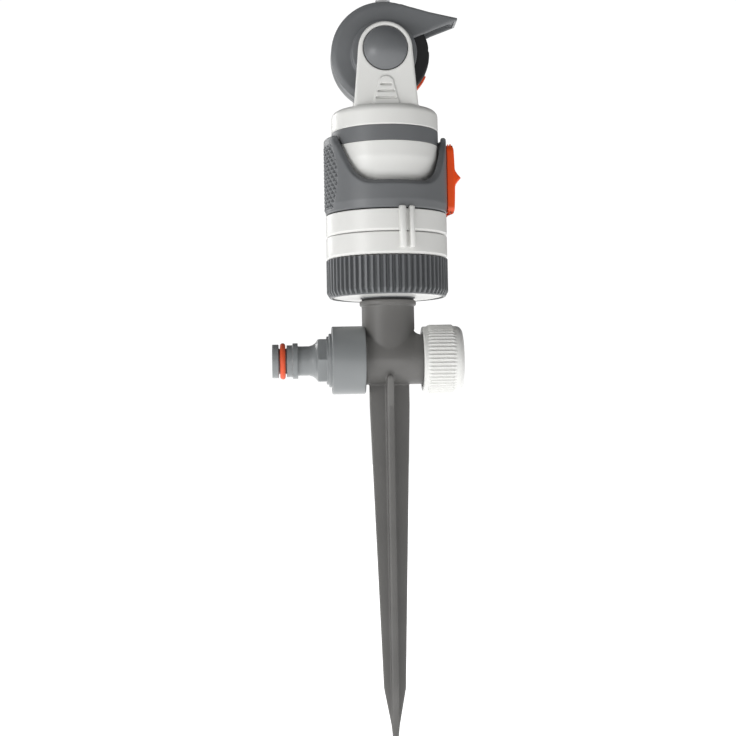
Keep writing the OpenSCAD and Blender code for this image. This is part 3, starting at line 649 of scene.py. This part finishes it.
ringSettings = {
    "radius": 28.85,
    "bore": 24.1,
    "stopReach": 31.4,
    "stopLow": 68.5,
    "stopHigh": 87.9,
    "leftStop": (-78.5, 3.2),    # angle and width
    "rightStop": (-70.0, 2.4),
    "split": (76.1, 76.4),       # the lower ring ends and the upper one begins
    "top": 86.7,
}


def stopBar(name, angle, width, reach, inner, low, high):
    half = width / 2
    outline = [(inner, -half)]
    for k in range(9):
        a = -math.pi / 2 + math.pi * k / 8
        outline.append((reach - half * 0.8 + half * 0.8 * math.cos(a), half * math.sin(a)))
    outline.append((inner, half))
    outline = np.array(outline)
    foot = [(0.0, 0.55), (0.25, 0.2), (0.7, 0.0)]    # height from the end, and how far the edge draws in
    levels = [(low + h, shrink) for h, shrink in foot] + [(high - h, shrink) for h, shrink in foot[::-1]]
    points = []
    for z, shrink in levels:
        middle = np.array([(inner + reach) / 2, 0])
        for p in outline:
            q = p - np.sign(p - middle) * np.array([shrink if p[0] > inner + 0.1 else 0, shrink * 0.8])
            points.append((q[0], q[1], z))
    n = len(outline)
    faces = [[s * n + i, s * n + (i + 1) % n, (s + 1) * n + (i + 1) % n, (s + 1) * n + i]
             for s in range(len(levels) - 1) for i in range(n)]
    faces += [list(range(n))[::-1], [(len(levels) - 1) * n + i for i in range(n)]]
    turn = np.array(Matrix.Rotation(math.radians(angle), 3, "Z"))
    return makePiece(name, np.array(points) @ turn.T, faces, 40)


def joinPieces(main, *others):
    shape = bmesh.new()
    for piece in (main,) + others:
        shape.from_mesh(piece.data)
    for piece in others:
        bpy.data.objects.remove(piece)
    shape.to_mesh(main.data)
    shape.free()
    main.data.polygons.foreach_set("use_smooth", [True] * len(main.data.polygons))
    main.data.set_sharp_from_angle(angle=math.radians(45))
    return main


cfg = ringSettings
for name, node, body, low, high, stop in (
        ("lower_sector_ring_moulded", "lower_sector_ring", "lower_ring",
         lowerRingLow[2], cfg["split"][0], cfg["rightStop"]),
        ("upper_sector_ring_moulded", "upper_sector_ring", "upper_ring",
         cfg["split"][1], cfg["top"], cfg["leftStop"])):
    r = cfg["radius"]
    ring = lathe(name, [(cfg["bore"], low, 0.2), (r - 0.55, low, 0.5), (r, low + 1.1, 0.8), (r, high, 0.45),
                        (cfg["bore"], high, 0.2)])
    bar = stopBar(name + "_stop", stop[0], stop[1], cfg["stopReach"], r - 0.4,
                  cfg["stopLow"], cfg["stopHigh"])
    finishPiece(joinPieces(ring, bar), body, node, "white_abs")

# Collar.

collarSettings = {
    "wall": 2.6,
    "rim": 1.25,
    "footIn": 0.55,
    "scoopLow": 98.7,
    "scoopSide": [(10.5, -0.3), (13.6, 0.0), (16.0, 0.7), (18.2, 2.1), (20.3, 4.1), (21.8, 6.3), (23.0, 8.8),
                  (24.8, 13.5), (26.1, 18.0), (27.2, 21.0), (27.9, 24.0), (28.0, 30.0)],
    "bevel": (0.85, 1.15),     # slope of the lip through the wall, at its foot and its sides
    "patch": (13.6, 0.37, 103.5, 15.0),     # half width, taper, middle height, and the height it tapers over
    "patchSpan": (89.0, 119.4),
    "patchDepth": 0.7,
    "shaftHole": 5.05,
    "floor": (89.6, 91.8),
    "step": 0.5,
}
collarR = collarHigh[0]


def turned(x, y, degrees):
    c, s = math.cos(math.radians(degrees)), math.sin(math.radians(degrees))
    return x * c + y * s, y * c - x * s


def collarField(x, y, z):
    cfg = collarSettings
    around = np.hypot(x, y)
    low, high = collarLow[2], collarHigh[2]
    outer = collarR - cfg["footIn"] * np.clip((low + 4 - z) / 4, 0, 1)
    px, py = turned(x, y, collarTurn)
    half, taper, middle, tall = cfg["patch"]
    beside = np.abs(collarR * np.arcsin(np.clip(py / np.maximum(around, 1), -1, 1)))
    patch = np.maximum(beside - half * (1 - taper * ((z - middle) / tall) ** 2),
                       np.maximum(cfg["patchSpan"][0] - z, z - cfg["patchSpan"][1]))
    outer = outer - cfg["patchDepth"] * np.where(px < 0, np.clip(-patch / 0.8, 0, 1), 0)
    inner = collarR - cfg["wall"]
    wall = meet(around - outer, inner - around, cfg["rim"] - 0.05)
    wall = np.where(z > high - 6, meet(wall, z - high, cfg["rim"] - 0.1),
                    np.maximum(around - outer, inner - around))
    wall = meet(wall, low - z, 0.3)
    side = cfg["scoopSide"]
    points = [(across, cfg["scoopLow"] + rise) for across, rise in side]
    points += [(-across, height) for across, height in points[::-1]]
    scoop = outlineField(px, z, points)
    slope = np.interp(z, [cfg["scoopLow"], cfg["scoopLow"] + 10], cfg["bevel"])
    scoop = (scoop + slope * np.clip(collarR - around, 0, 4)) / 1.35
    scoop = np.maximum(scoop, 10 - np.abs(py))
    wall = cut(wall, scoop, 0.4)
    slot = boxField(px, py, z, (20, -2.7, 96.8), (40, 2.7, 108.3), 0.2)
    wall = cut(wall, slot, 0.2)
    disc = rodField(around, z, inner + 0.5, cfg["floor"][0], cfg["floor"][1], 0.2)
    return cut(join(wall, disc, 0.5), around - cfg["shaftHole"], 0.1)


step = collarSettings["step"] * coarse
collarAxis = spread(-collarR - 1, collarR + 1, step)
collar = fieldMesh("collar_moulded", collarField,
                   (collarAxis, collarAxis, spread(collarLow[2] - 1, collarHigh[2] + 1, step)))
finishPiece(collar, "head", "collar", "dark_grey_abs")

knurlSettings = {
    "pitch": 3.7,           # between diamonds, both ways
    "height": 0.88,
    "arcHalf": 27.0,        # degrees each side of the middle of the patch
    "low": 89.9,
    "high": 118.7,
    "size": 1.72,
}


def knurlTree():
    tree = newTree("diamond_patch", (
        ("Radius", "NodeSocketFloat"), ("Arc", "NodeSocketFloat"), ("Height", "NodeSocketFloat"),
        ("Middle", "NodeSocketFloat"), ("Centre Z", "NodeSocketFloat"), ("Taper", "NodeSocketFloat"),
        ("Taper Scale", "NodeSocketFloat"), ("Taper Shift", "NodeSocketFloat"), ("Columns", "NodeSocketInt"),
        ("Rows", "NodeSocketInt"), ("Material", "NodeSocketMaterial")))
    source = addNode(tree, "NodeGroupInput")
    grid = addNode(tree, "GeometryNodeMeshGrid", {"Size X": 1.0, "Size Y": 1.0},
                   {"Vertices X": source.outputs["Columns"], "Vertices Y": source.outputs["Rows"]})
    index = addNode(tree, "GeometryNodeInputIndex")
    row = addNode(tree, "ShaderNodeMath", {"operation": "MODULO"},
                  {0: index.outputs[0], 1: source.outputs["Rows"]})
    column = addNode(tree, "ShaderNodeMath", {"operation": "DIVIDE"},
                     {0: index.outputs[0], 1: source.outputs["Rows"]})
    whole = addNode(tree, "ShaderNodeMath", {"operation": "FLOOR"}, {0: column.outputs[0]})
    both = addNode(tree, "ShaderNodeMath", {"operation": "ADD"}, {0: row.outputs[0], 1: whole.outputs[0]})
    odd = addNode(tree, "ShaderNodeMath", {"operation": "MODULO", 1: 2.0}, {0: both.outputs[0]})
    place = addNode(tree, "GeometryNodeInputPosition")
    parts = addNode(tree, "ShaderNodeSeparateXYZ", None, {0: place.outputs[0]})
    # an oval: narrower towards its two ends
    scaled = addNode(tree, "ShaderNodeMath", {"operation": "MULTIPLY_ADD"},
                     {0: parts.outputs["Y"], 1: source.outputs["Taper Scale"],
                      2: source.outputs["Taper Shift"]})
    square = addNode(tree, "ShaderNodeMath", {"operation": "MULTIPLY"},
                     {0: scaled.outputs[0], 1: scaled.outputs[0]})
    less = addNode(tree, "ShaderNodeMath", {"operation": "MULTIPLY"},
                   {0: square.outputs[0], 1: source.outputs["Taper"]})
    limit = addNode(tree, "ShaderNodeMath", {"operation": "SUBTRACT", 0: 0.5}, {1: less.outputs[0]})
    away = addNode(tree, "ShaderNodeMath", {"operation": "ABSOLUTE"}, {0: parts.outputs["X"]})
    outside = addNode(tree, "ShaderNodeMath", {"operation": "GREATER_THAN"},
                      {0: away.outputs[0], 1: limit.outputs[0]})
    drop = addNode(tree, "ShaderNodeMath", {"operation": "MAXIMUM"},
                   {0: odd.outputs[0], 1: outside.outputs[0]})
    kept = addNode(tree, "GeometryNodeDeleteGeometry", {"domain": "POINT"},
                   {"Geometry": grid.outputs[0], "Selection": drop.outputs[0]})
    turn = addNode(tree, "ShaderNodeMath", {"operation": "MULTIPLY_ADD"},
                   {0: parts.outputs["X"], 1: source.outputs["Arc"], 2: source.outputs["Middle"]})
    cosine = addNode(tree, "ShaderNodeMath", {"operation": "COSINE"}, {0: turn.outputs[0]})
    sine = addNode(tree, "ShaderNodeMath", {"operation": "SINE"}, {0: turn.outputs[0]})
    atX = addNode(tree, "ShaderNodeMath", {"operation": "MULTIPLY"},
                  {0: cosine.outputs[0], 1: source.outputs["Radius"]})
    atY = addNode(tree, "ShaderNodeMath", {"operation": "MULTIPLY"},
                  {0: sine.outputs[0], 1: source.outputs["Radius"]})
    atZ = addNode(tree, "ShaderNodeMath", {"operation": "MULTIPLY_ADD"},
                  {0: parts.outputs["Y"], 1: source.outputs["Height"], 2: source.outputs["Centre Z"]})
    spot = addNode(tree, "ShaderNodeCombineXYZ", None,
                   {"X": atX.outputs[0], "Y": atY.outputs[0], "Z": atZ.outputs[0]})
    euler = addNode(tree, "ShaderNodeCombineXYZ", None, {"Z": turn.outputs[0]})
    stored = addNode(tree, "GeometryNodeStoreNamedAttribute",
                     {"data_type": "FLOAT_VECTOR", "domain": "POINT", "Name": "facing"},
                     {"Geometry": kept.outputs[0], "Value": euler.outputs[0]})
    moved = addNode(tree, "GeometryNodeSetPosition", None,
                    {"Geometry": stored.outputs[0], "Position": spot.outputs[0]})
    facing = addNode(tree, "GeometryNodeInputNamedAttribute", {"data_type": "FLOAT_VECTOR", "Name": "facing"})
    rotation = addNode(tree, "FunctionNodeEulerToRotation", None, {0: facing.outputs[0]})
    copies = addNode(tree, "GeometryNodeInstanceOnPoints", None,
                     {"Points": moved.outputs[0], "Instance": source.outputs["Geometry"],
                      "Rotation": rotation.outputs[0]})
    real = addNode(tree, "GeometryNodeRealizeInstances", None, {0: copies.outputs[0]})
    finish = addNode(tree, "GeometryNodeSetMaterial", None,
                     {"Geometry": real.outputs[0], "Material": source.outputs["Material"]})
    addNode(tree, "NodeGroupOutput", None, {0: finish.outputs[0]})
    return tree


cfg = knurlSettings
size, tip = cfg["size"], cfg["height"]
diamond = makePiece("collar_grip_diamonds",
                    [(-0.4, -size, 0), (-0.4, 0, -size), (-0.4, size, 0), (-0.4, 0, size),
                     (0.0, -size, 0), (0.0, 0, -size), (0.0, size, 0), (0.0, 0, size),
                     (tip, -size * 0.25, 0), (tip, 0, -size * 0.25),
                     (tip, size * 0.25, 0), (tip, 0, size * 0.25)],
                    [(0, 1, 2, 3)[::-1]] + [(i, (i + 1) % 4, (i + 1) % 4 + 4, i + 4) for i in range(4)] +
                    [(i + 4, (i + 1) % 4 + 4, (i + 1) % 4 + 8, i + 8) for i in range(4)] + [(8, 9, 10, 11)])
arc = math.radians(2 * cfg["arcHalf"])
tall, middle = cfg["high"] - cfg["low"], (cfg["low"] + cfg["high"]) / 2
patchTaper, patchMiddle, patchTall = collarSettings["patch"][1:]
bakeTree(diamond, knurlTree(), {
    "Radius": (collarR - collarSettings["patchDepth"]) * mm, "Arc": arc, "Height": tall * mm,
    "Middle": math.radians(180 + collarTurn), "Centre Z": middle * mm,
    "Taper": patchTaper * 0.5, "Taper Scale": tall / patchTall,
    "Taper Shift": (middle - patchMiddle) / patchTall,
    "Columns": int(arc * collarR / cfg["pitch"] * 2) + 1, "Rows": int(tall / cfg["pitch"] * 2) + 1,
    "Material": plastics["dark_grey_abs"]})
shape = bmesh.new()
shape.from_mesh(diamond.data)
bmesh.ops.recalc_face_normals(shape, faces=shape.faces)
shape.to_mesh(diamond.data)
shape.free()
finishPiece(diamond, "head", None, "dark_grey_abs")

# Turret.

bowlR = bowlHigh[0]
bowlTop = bandLow[2] - 0.1
bowl = lathe("turret_bowl_moulded", [
    (14.5, bowlLow[2], 0.5), (20.4, bowlTop - 21, 6), (23.9, bowlTop - 14, 12),
    (bowlR - 0.2, bowlTop - 7, 12), (bowlR, bowlTop, 0.25), (bowlR - 3, bowlTop, 0),
    (bowlR - 4, bowlTop - 10, 0), (18, bowlTop - 19, 0), (8, bowlLow[2] + 3, 0),
    (5.3, bowlLow[2] + 3, 0), (5.3, bowlLow[2], 0)], 160)
finishPiece(bowl, "head", "turret_bowl", "white_abs")

band = lathe("turret_band_moulded", [
    (bandHigh[0] - 2.9, bandLow[2], 0), (bandHigh[0], bandLow[2], 0.2), (bandHigh[0], bandHigh[2], 0.2),
    (bandHigh[0] - 2.9, bandHigh[2], 0)], 160)
finishPiece(band, "head", "turret_band", "dark_grey_abs")

yokeSettings = {
    "capTop": 136.6,
    "corner": 3.4,
    "armIn": 11.0,
    "armOut": 19.5,
    "hub": 12.7,
    "baseHalf": 15.4,
    "armEdge": 1.1,
    "seat": 10.6,
    "seatDepth": 2.6,
    "pivotHole": 8.06,
    "arch": [(6.4, 137.4), (3.7, 146.6)],   # half width and height of the raised tab
    "archRise": 0.75,
    "grooves": [(139.9, 5.0), (143.0, 4.0), (146.1, 2.7)],     # height and half width
    "grooveFloor": -18.7,
    "step": 0.46,
}


def yokeField(x, y, z):
    cfg = yokeSettings
    low, top = bandHigh[2] + 0.1, cfg["capTop"]
    cap = meet(np.hypot(x, y) - yokeHigh[0], z - top, cfg["corner"])
    cap = meet(cap, low - z, 0.3)
    arc = [(cfg["hub"] * math.cos(math.radians(a)), tiltZ + cfg["hub"] * math.sin(math.radians(a)))
           for a in range(0, 181, 6)]
    outline = outlineField(x, z, [(-cfg["baseHalf"], top - 4), (cfg["baseHalf"], top - 4)] + arc)
    depth = np.abs(y)
    arms = meet(outline, np.maximum(cfg["armIn"] - depth, depth - cfg["armOut"]), cfg["armEdge"])
    (half0, z0), (half1, z1) = cfg["arch"]
    arch = outlineField(x, z, [(-half0, z0 - 1), (half0, z0 - 1), (half1, z1), (-half1, z1)])
    arch = np.minimum(arch, np.hypot(x, z - z1) - half1)
    tab = meet(arch, np.maximum(-cfg["armOut"] - cfg["archRise"] - y, y + cfg["armOut"] - 2), 0.5)
    body = join(cap, arms, 0.7)
    body = join(body, tab, 0.35)
    for height, half in cfg["grooves"]:
        groove = boxField(x, y, z, (-half, -25, height - 0.5), (half, cfg["grooveFloor"], height + 0.5), 0.2)
        body = cut(body, groove, 0.12)
    seat = rodField(np.hypot(x, z - tiltZ), depth, cfg["seat"], cfg["armOut"] - cfg["seatDepth"], 40, 0.2)
    body = cut(body, seat, 0.45)
    return cut(body, np.hypot(x, z - tiltZ) - cfg["pivotHole"], 0.2)


step = yokeSettings["step"] * coarse
yokeAxis = spread(-yokeHigh[0] - 1, yokeHigh[0] + 1, step)
yoke = fieldMesh("yoke_moulded", yokeField,
                 (yokeAxis, yokeAxis, spread(yokeLow[2] - 1, yokeHigh[2] + 1, step)))
finishPiece(yoke, "head", "yoke", "white_abs")

# Selector.

selectorSettings = {
    "width": 13.0,
    "plate": (0.3, 4.2),     # inner and outer face beyond the collar
    "reach": 7.2,            # tip of the ridge beyond the collar
    "ridgeHeight": 104.9,
    "ridgeHalf": 6.2,
    "step": 0.42,
}


def selectorField(x, y, z):
    cfg = selectorSettings
    px, py = turned(x, y, collarTurn)
    around = np.hypot(px, py)
    low, high = selectorLow[2], selectorHigh[2]
    face = np.maximum(np.abs(py) - cfg["width"] / 2 + 2.4, 0)
    ends = np.maximum(np.abs(z - (low + high) / 2) - (high - low) / 2 + 2.4, 0)
    outline = np.hypot(face, ends) - 2.4
    inner, outer = collarR + cfg["plate"][0], collarR + cfg["plate"][1]
    # the plate thins a little towards its ends
    outer = outer - 0.5 * np.abs((z - (low + high) / 2) / (high - low) * 2) ** 2
    plate = meet(meet(outline, around - outer, 1.0), inner - around, 0.25)
    rise = np.maximum(0, 1 - np.abs(z - cfg["ridgeHeight"]) / cfg["ridgeHalf"])
    crest = collarR + cfg["plate"][1] - 0.9 + (cfg["reach"] - cfg["plate"][1] + 0.9) * rise ** 1.5
    ridge = meet(meet((around - crest) * 0.72, np.abs(py) - cfg["width"] / 2 + 0.7, 0.6), inner - around, 0.2)
    return join(plate, ridge, 0.5)


step = selectorSettings["step"] * coarse
selector = fieldMesh("selector_slide_moulded", selectorField,
                     (spread(selectorLow[0] - 1, selectorHigh[0] + 2, step),
                      spread(selectorLow[1] - 2, selectorHigh[1] + 2, step),
                      spread(selectorLow[2] - 1, selectorHigh[2] + 1, step)))
finishPiece(selector, "selector", "selector_slide", "orange_abs")

# Nozzle.

nozzleSettings = {
    "radius": 25.2,
    "half": 7.4,
    "gap": 0.1,
    "brow": [(0.0, 2.1), (60.0, 25.9)],     # the visor's lower edge, carried on both ways
    "openTo": -78,                 # degrees: the drum shows from the visor down to here
    "visor": [(8.5, 23.7), (14.0, 22.3), (22.0, 20.0), (30.0, 18.2), (35.4, 17.0), (35.3, 15.7), (13.5, 7.4),
              (13.0, 4.0), (6.0, 12.0)],
    "channel": [(12.0, 20.6), (20.0, 19.0), (31.0, 16.8), (33.9, 16.0), (33.9, 9.0), (20.0, 2.0),
                (12.0, -2.0)],
    "wall": 1.25,
    "bevelWide": 2.5,
    "bevelNarrow": 0.9,
    "bevelDepth": 0.95,
    "boss": 15.6,
    "bossFace": 10.7,
    "pocket": 22.1,
    "pocketHalf": 5.3,
    "pivotHole": 8.06,
    "step": 0.45,
}


def shellField(side):
    cfg = nozzleSettings
    end = math.radians(cfg["openTo"])
    wedgePoints = [(0, 0)] + cfg["brow"] + [(60, -40), (60 * math.cos(end), 60 * math.sin(end))]

    def field(x, y, z):
        v = z - tiltZ
        depth = y * side
        around = np.hypot(x, v)
        disc = cut(around - cfg["radius"], outlineField(x, v, wedgePoints), 0.3)
        outline = join(disc, outlineField(x, v, cfg["visor"]), 0.8)
        solid = meet(outline, depth - cfg["half"], 0.7)
        wide = np.interp(x, [-2, 12], [cfg["bevelWide"], cfg["bevelNarrow"]])
        slope = cfg["bevelDepth"] / cfg["bevelWide"]
        bevel = ((depth - cfg["half"]) + (outline + wide) * slope) / math.hypot(1, slope)
        solid = meet(solid, bevel, 0.25)
        boss = rodField(around, depth, cfg["boss"], 2, cfg["bossFace"], 0.7)
        solid = join(solid, boss, 0.4)
        solid = meet(solid, cfg["gap"] - depth, 0.2)
        inside = np.maximum(outlineField(x, v, cfg["channel"]), depth - cfg["half"] + cfg["wall"])
        solid = cut(solid, inside, 0.25)
        pocket = rodField(around, depth, cfg["pocket"], -20, cfg["pocketHalf"], 0.2)
        solid = cut(solid, pocket, 0.25)
        return cut(solid, around - cfg["pivotHole"], 0.2)

    return field


step = nozzleSettings["step"] * coarse
for side, node in ((-1, "front_shell"), (1, "rear_shell")):
    low, high = nodeBox(node)
    shell = fieldMesh(node + "_moulded", shellField(side),
                      (spread(low[0] - 1, high[0] + 1.2, step), spread(low[1] - 1, high[1] + 1, step),
                       spread(low[2] - 1, high[2] + 1, step)))
    finishPiece(shell, "nozzle", node, "grey_abs")

drumSettings = {"half": 5.1, "trunnion": 8.0, "jet": 8.0, "jetBore": 3.1, "step": 0.55}


def drumField(x, y, z):
    cfg = drumSettings
    v = z - tiltZ
    around = np.hypot(x, v)
    depth = np.abs(y)
    body = rodField(around, depth, drumHigh[0], -1, cfg["half"], 0.6)
    # a shallow track runs round the rim between two lands
    track = np.maximum(np.maximum(drumHigh[0] - 0.55 - around, depth - 3.3), around - 40)
    body = cut(body, track, 0.25)
    body = join(body, rodField(around, depth, cfg["trunnion"], -1, drumHigh[1], 0.4), 0.3)
    tilt = math.radians(cfg["jet"])
    along = x * math.cos(tilt) + v * math.sin(tilt)
    off = np.hypot(y, v * math.cos(tilt) - x * math.sin(tilt))
    seat = rodField(off, along, 4.6, drumHigh[0] - 1.6, 40, 0.2)
    body = cut(body, seat, 0.3)
    return cut(body, rodField(off, along, cfg["jetBore"], 10, 40, 0.1), 0.2)


step = drumSettings["step"] * coarse
drumAxis = spread(drumLow[0] - 1, drumHigh[0] + 1, step)
drum = fieldMesh("nozzle_drum_moulded", drumField,
                 (drumAxis, spread(drumLow[1] - 1, drumHigh[1] + 1, step),
                  spread(drumLow[2] - 1, drumHigh[2] + 1, step)))
finishPiece(drum, "nozzle", "nozzle_drum", "black_abs")

hubSettings = {"rise": 4.5}    # of the dome above its edge
hubR = hubHigh[0]
seatY = yokeSettings["armOut"] - yokeSettings["seatDepth"]
domeR = (hubR ** 2 + hubSettings["rise"] ** 2) / (2 * hubSettings["rise"])
tipY = -hubLow[1]
dome = [(hubR * s, tipY - domeR + math.sqrt(domeR ** 2 - (hubR * s) ** 2), 0)
        for s in (0.96, 0.88, 0.78, 0.67, 0.55, 0.42, 0.3, 0.18, 0.08)]
for name, sign, node in (("front_hub_cap_moulded", -1, "front_hub_cap"),
                         ("rear_hub_cap_moulded", 1, "rear_hub_cap")):
    corners = [(0, seatY + 0.1, 0), (hubR, seatY + 0.1, 0.1),
               (hubR, tipY - domeR + math.sqrt(domeR ** 2 - hubR ** 2) + 0.15, 0.3)] + dome + [(0, tipY, 0)]
    hub = lathe(name, [(r, y * sign, e) for r, y, e in corners], 128, "Y", tiltZ, 180)
    finishPiece(hub, "nozzle", node, "grey_abs")

# The frame's own parts that stay.

slotOf = {part["node"]: part["material_slot"] for part in frame["record"]["subparts"]}
for name, node in frame["nodes"].items():
    plastic = plastics[slotOf[name]]
    node.data.materials.clear()
    node.data.materials.append(plastic)
print("frame parts finished:", len(slotOf))

# Camera, floor and light.

# A long lens a little below and to the left of the object.
cameraSettings = {
    "turn": -3.5,        # degrees round from straight in front
    "distance": 0.76,
    "height": -0.015,
    "pitch": 2.2,        # degrees above level
    "roll": 1.05,
    "aside": 0.010,      # the axis stands this far right of the view's middle
    "lens": 78,
    "sensor": 36,
}


def addCamera(cfg):
    turn = math.radians(cfg["turn"])
    place = Vector((math.sin(turn) * cfg["distance"], -math.cos(turn) * cfg["distance"], cfg["height"]))
    right = Vector((math.cos(turn), math.sin(turn), 0))
    rise = cfg["distance"] * math.tan(math.radians(cfg["pitch"]))
    target = Vector((0, 0, cfg["height"] + rise)) - right * cfg["aside"]
    look = (target - place).to_track_quat("-Z", "Y").to_matrix()
    data = bpy.data.cameras.new("camera")
    data.lens = cfg["lens"]
    data.sensor_width = cfg["sensor"]
    camera = bpy.data.objects.new("camera", data)
    bpy.context.scene.collection.objects.link(camera)
    camera.rotation_euler = (look @ Matrix.Rotation(-math.radians(cfg["roll"]), 3, "Z")).to_euler()
    camera.location = place
    bpy.context.scene.camera = camera


addCamera(cameraSettings)

# White paper below throws light up, the upper half is dimmer, and the left is brighter than the right.
studioSettings = {
    "backdrop": 1.05,
    "middle": 0.24,
    "upward": -0.10,
    "rightward": -0.12,
    "floorDrop": 0.003,
    "floorHalf": 6000,
    "paper": {"colour": "#efefef", "shade": "#ededed", "rough": 0.9, "roughSpread": 0.02, "flowMm": 400,
              "grainMm": 4, "bump": 0.02},
    "floorGlow": 1.25,
    "lamps": [
        # name, place, size, watts
        ("keyLamp", (-1.15, -0.95, -0.06), 0.6, 8.0),
        ("rimLamp", (-0.9, 1.1, 0.5), 0.6, 4.0),
    ],
}


def addStudio(cfg):
    world = bpy.data.worlds.new("studio")
    bpy.context.scene.world = world
    world.use_nodes = True
    tree = world.node_tree
    tree.nodes.clear()
    place = addNode(tree, "ShaderNodeTexCoord")
    parts = addNode(tree, "ShaderNodeSeparateXYZ", None, {0: place.outputs["Generated"]})
    across = addNode(tree, "ShaderNodeMath",
                     {"operation": "MULTIPLY_ADD", 1: cfg["rightward"], 2: cfg["middle"]},
                     {0: parts.outputs["X"]})
    level = addNode(tree, "ShaderNodeMath", {"operation": "MULTIPLY_ADD", 1: cfg["upward"]},
                    {0: parts.outputs["Z"], 2: across.outputs[0]})
    ray = addNode(tree, "ShaderNodeLightPath")
    shown = addNode(tree, "ShaderNodeMix", {"data_type": "FLOAT", "B": cfg["backdrop"]},
                    {"Factor": ray.outputs["Is Camera Ray"], "A": level.outputs[0]})
    sky = addNode(tree, "ShaderNodeBackground", {"Color": (1, 1, 1, 1)},
                  {"Strength": shown.outputs["Result"]})
    addNode(tree, "ShaderNodeOutputWorld", None, {"Surface": sky.outputs[0]})
    for name, spot, size, watts in cfg["lamps"]:
        data = bpy.data.lights.new(name, "AREA")
        data.energy = watts
        data.size = size
        lamp = bpy.data.objects.new(name, data)
        lamp.location = spot
        lamp.rotation_euler = (Vector((0, 0, 0.05)) - Vector(spot)).to_track_quat("-Z", "Y").to_euler()
        bpy.context.scene.collection.objects.link(lamp)
    floorZ = (cadBounds[0][2] - cfg["floorDrop"]) / mm
    half = cfg["floorHalf"]
    corners = [(x * half, y * half, floorZ) for x, y in ((-1, -1), (1, -1), (1, 1), (-1, 1))]
    floor = makePiece("floor", corners, [(0, 1, 2, 3)])
    paper = moulded("matt white paper", cfg["paper"])
    shader = next(n for n in paper.node_tree.nodes if n.type == "BSDF_PRINCIPLED")
    shader.inputs["Emission Color"].default_value = (1, 1, 1, 1)
    shader.inputs["Emission Strength"].default_value = cfg["floorGlow"]
    floor.data.materials.append(paper)


addStudio(studioSettings)
bpy.context.scene.view_settings.view_transform = "Standard"
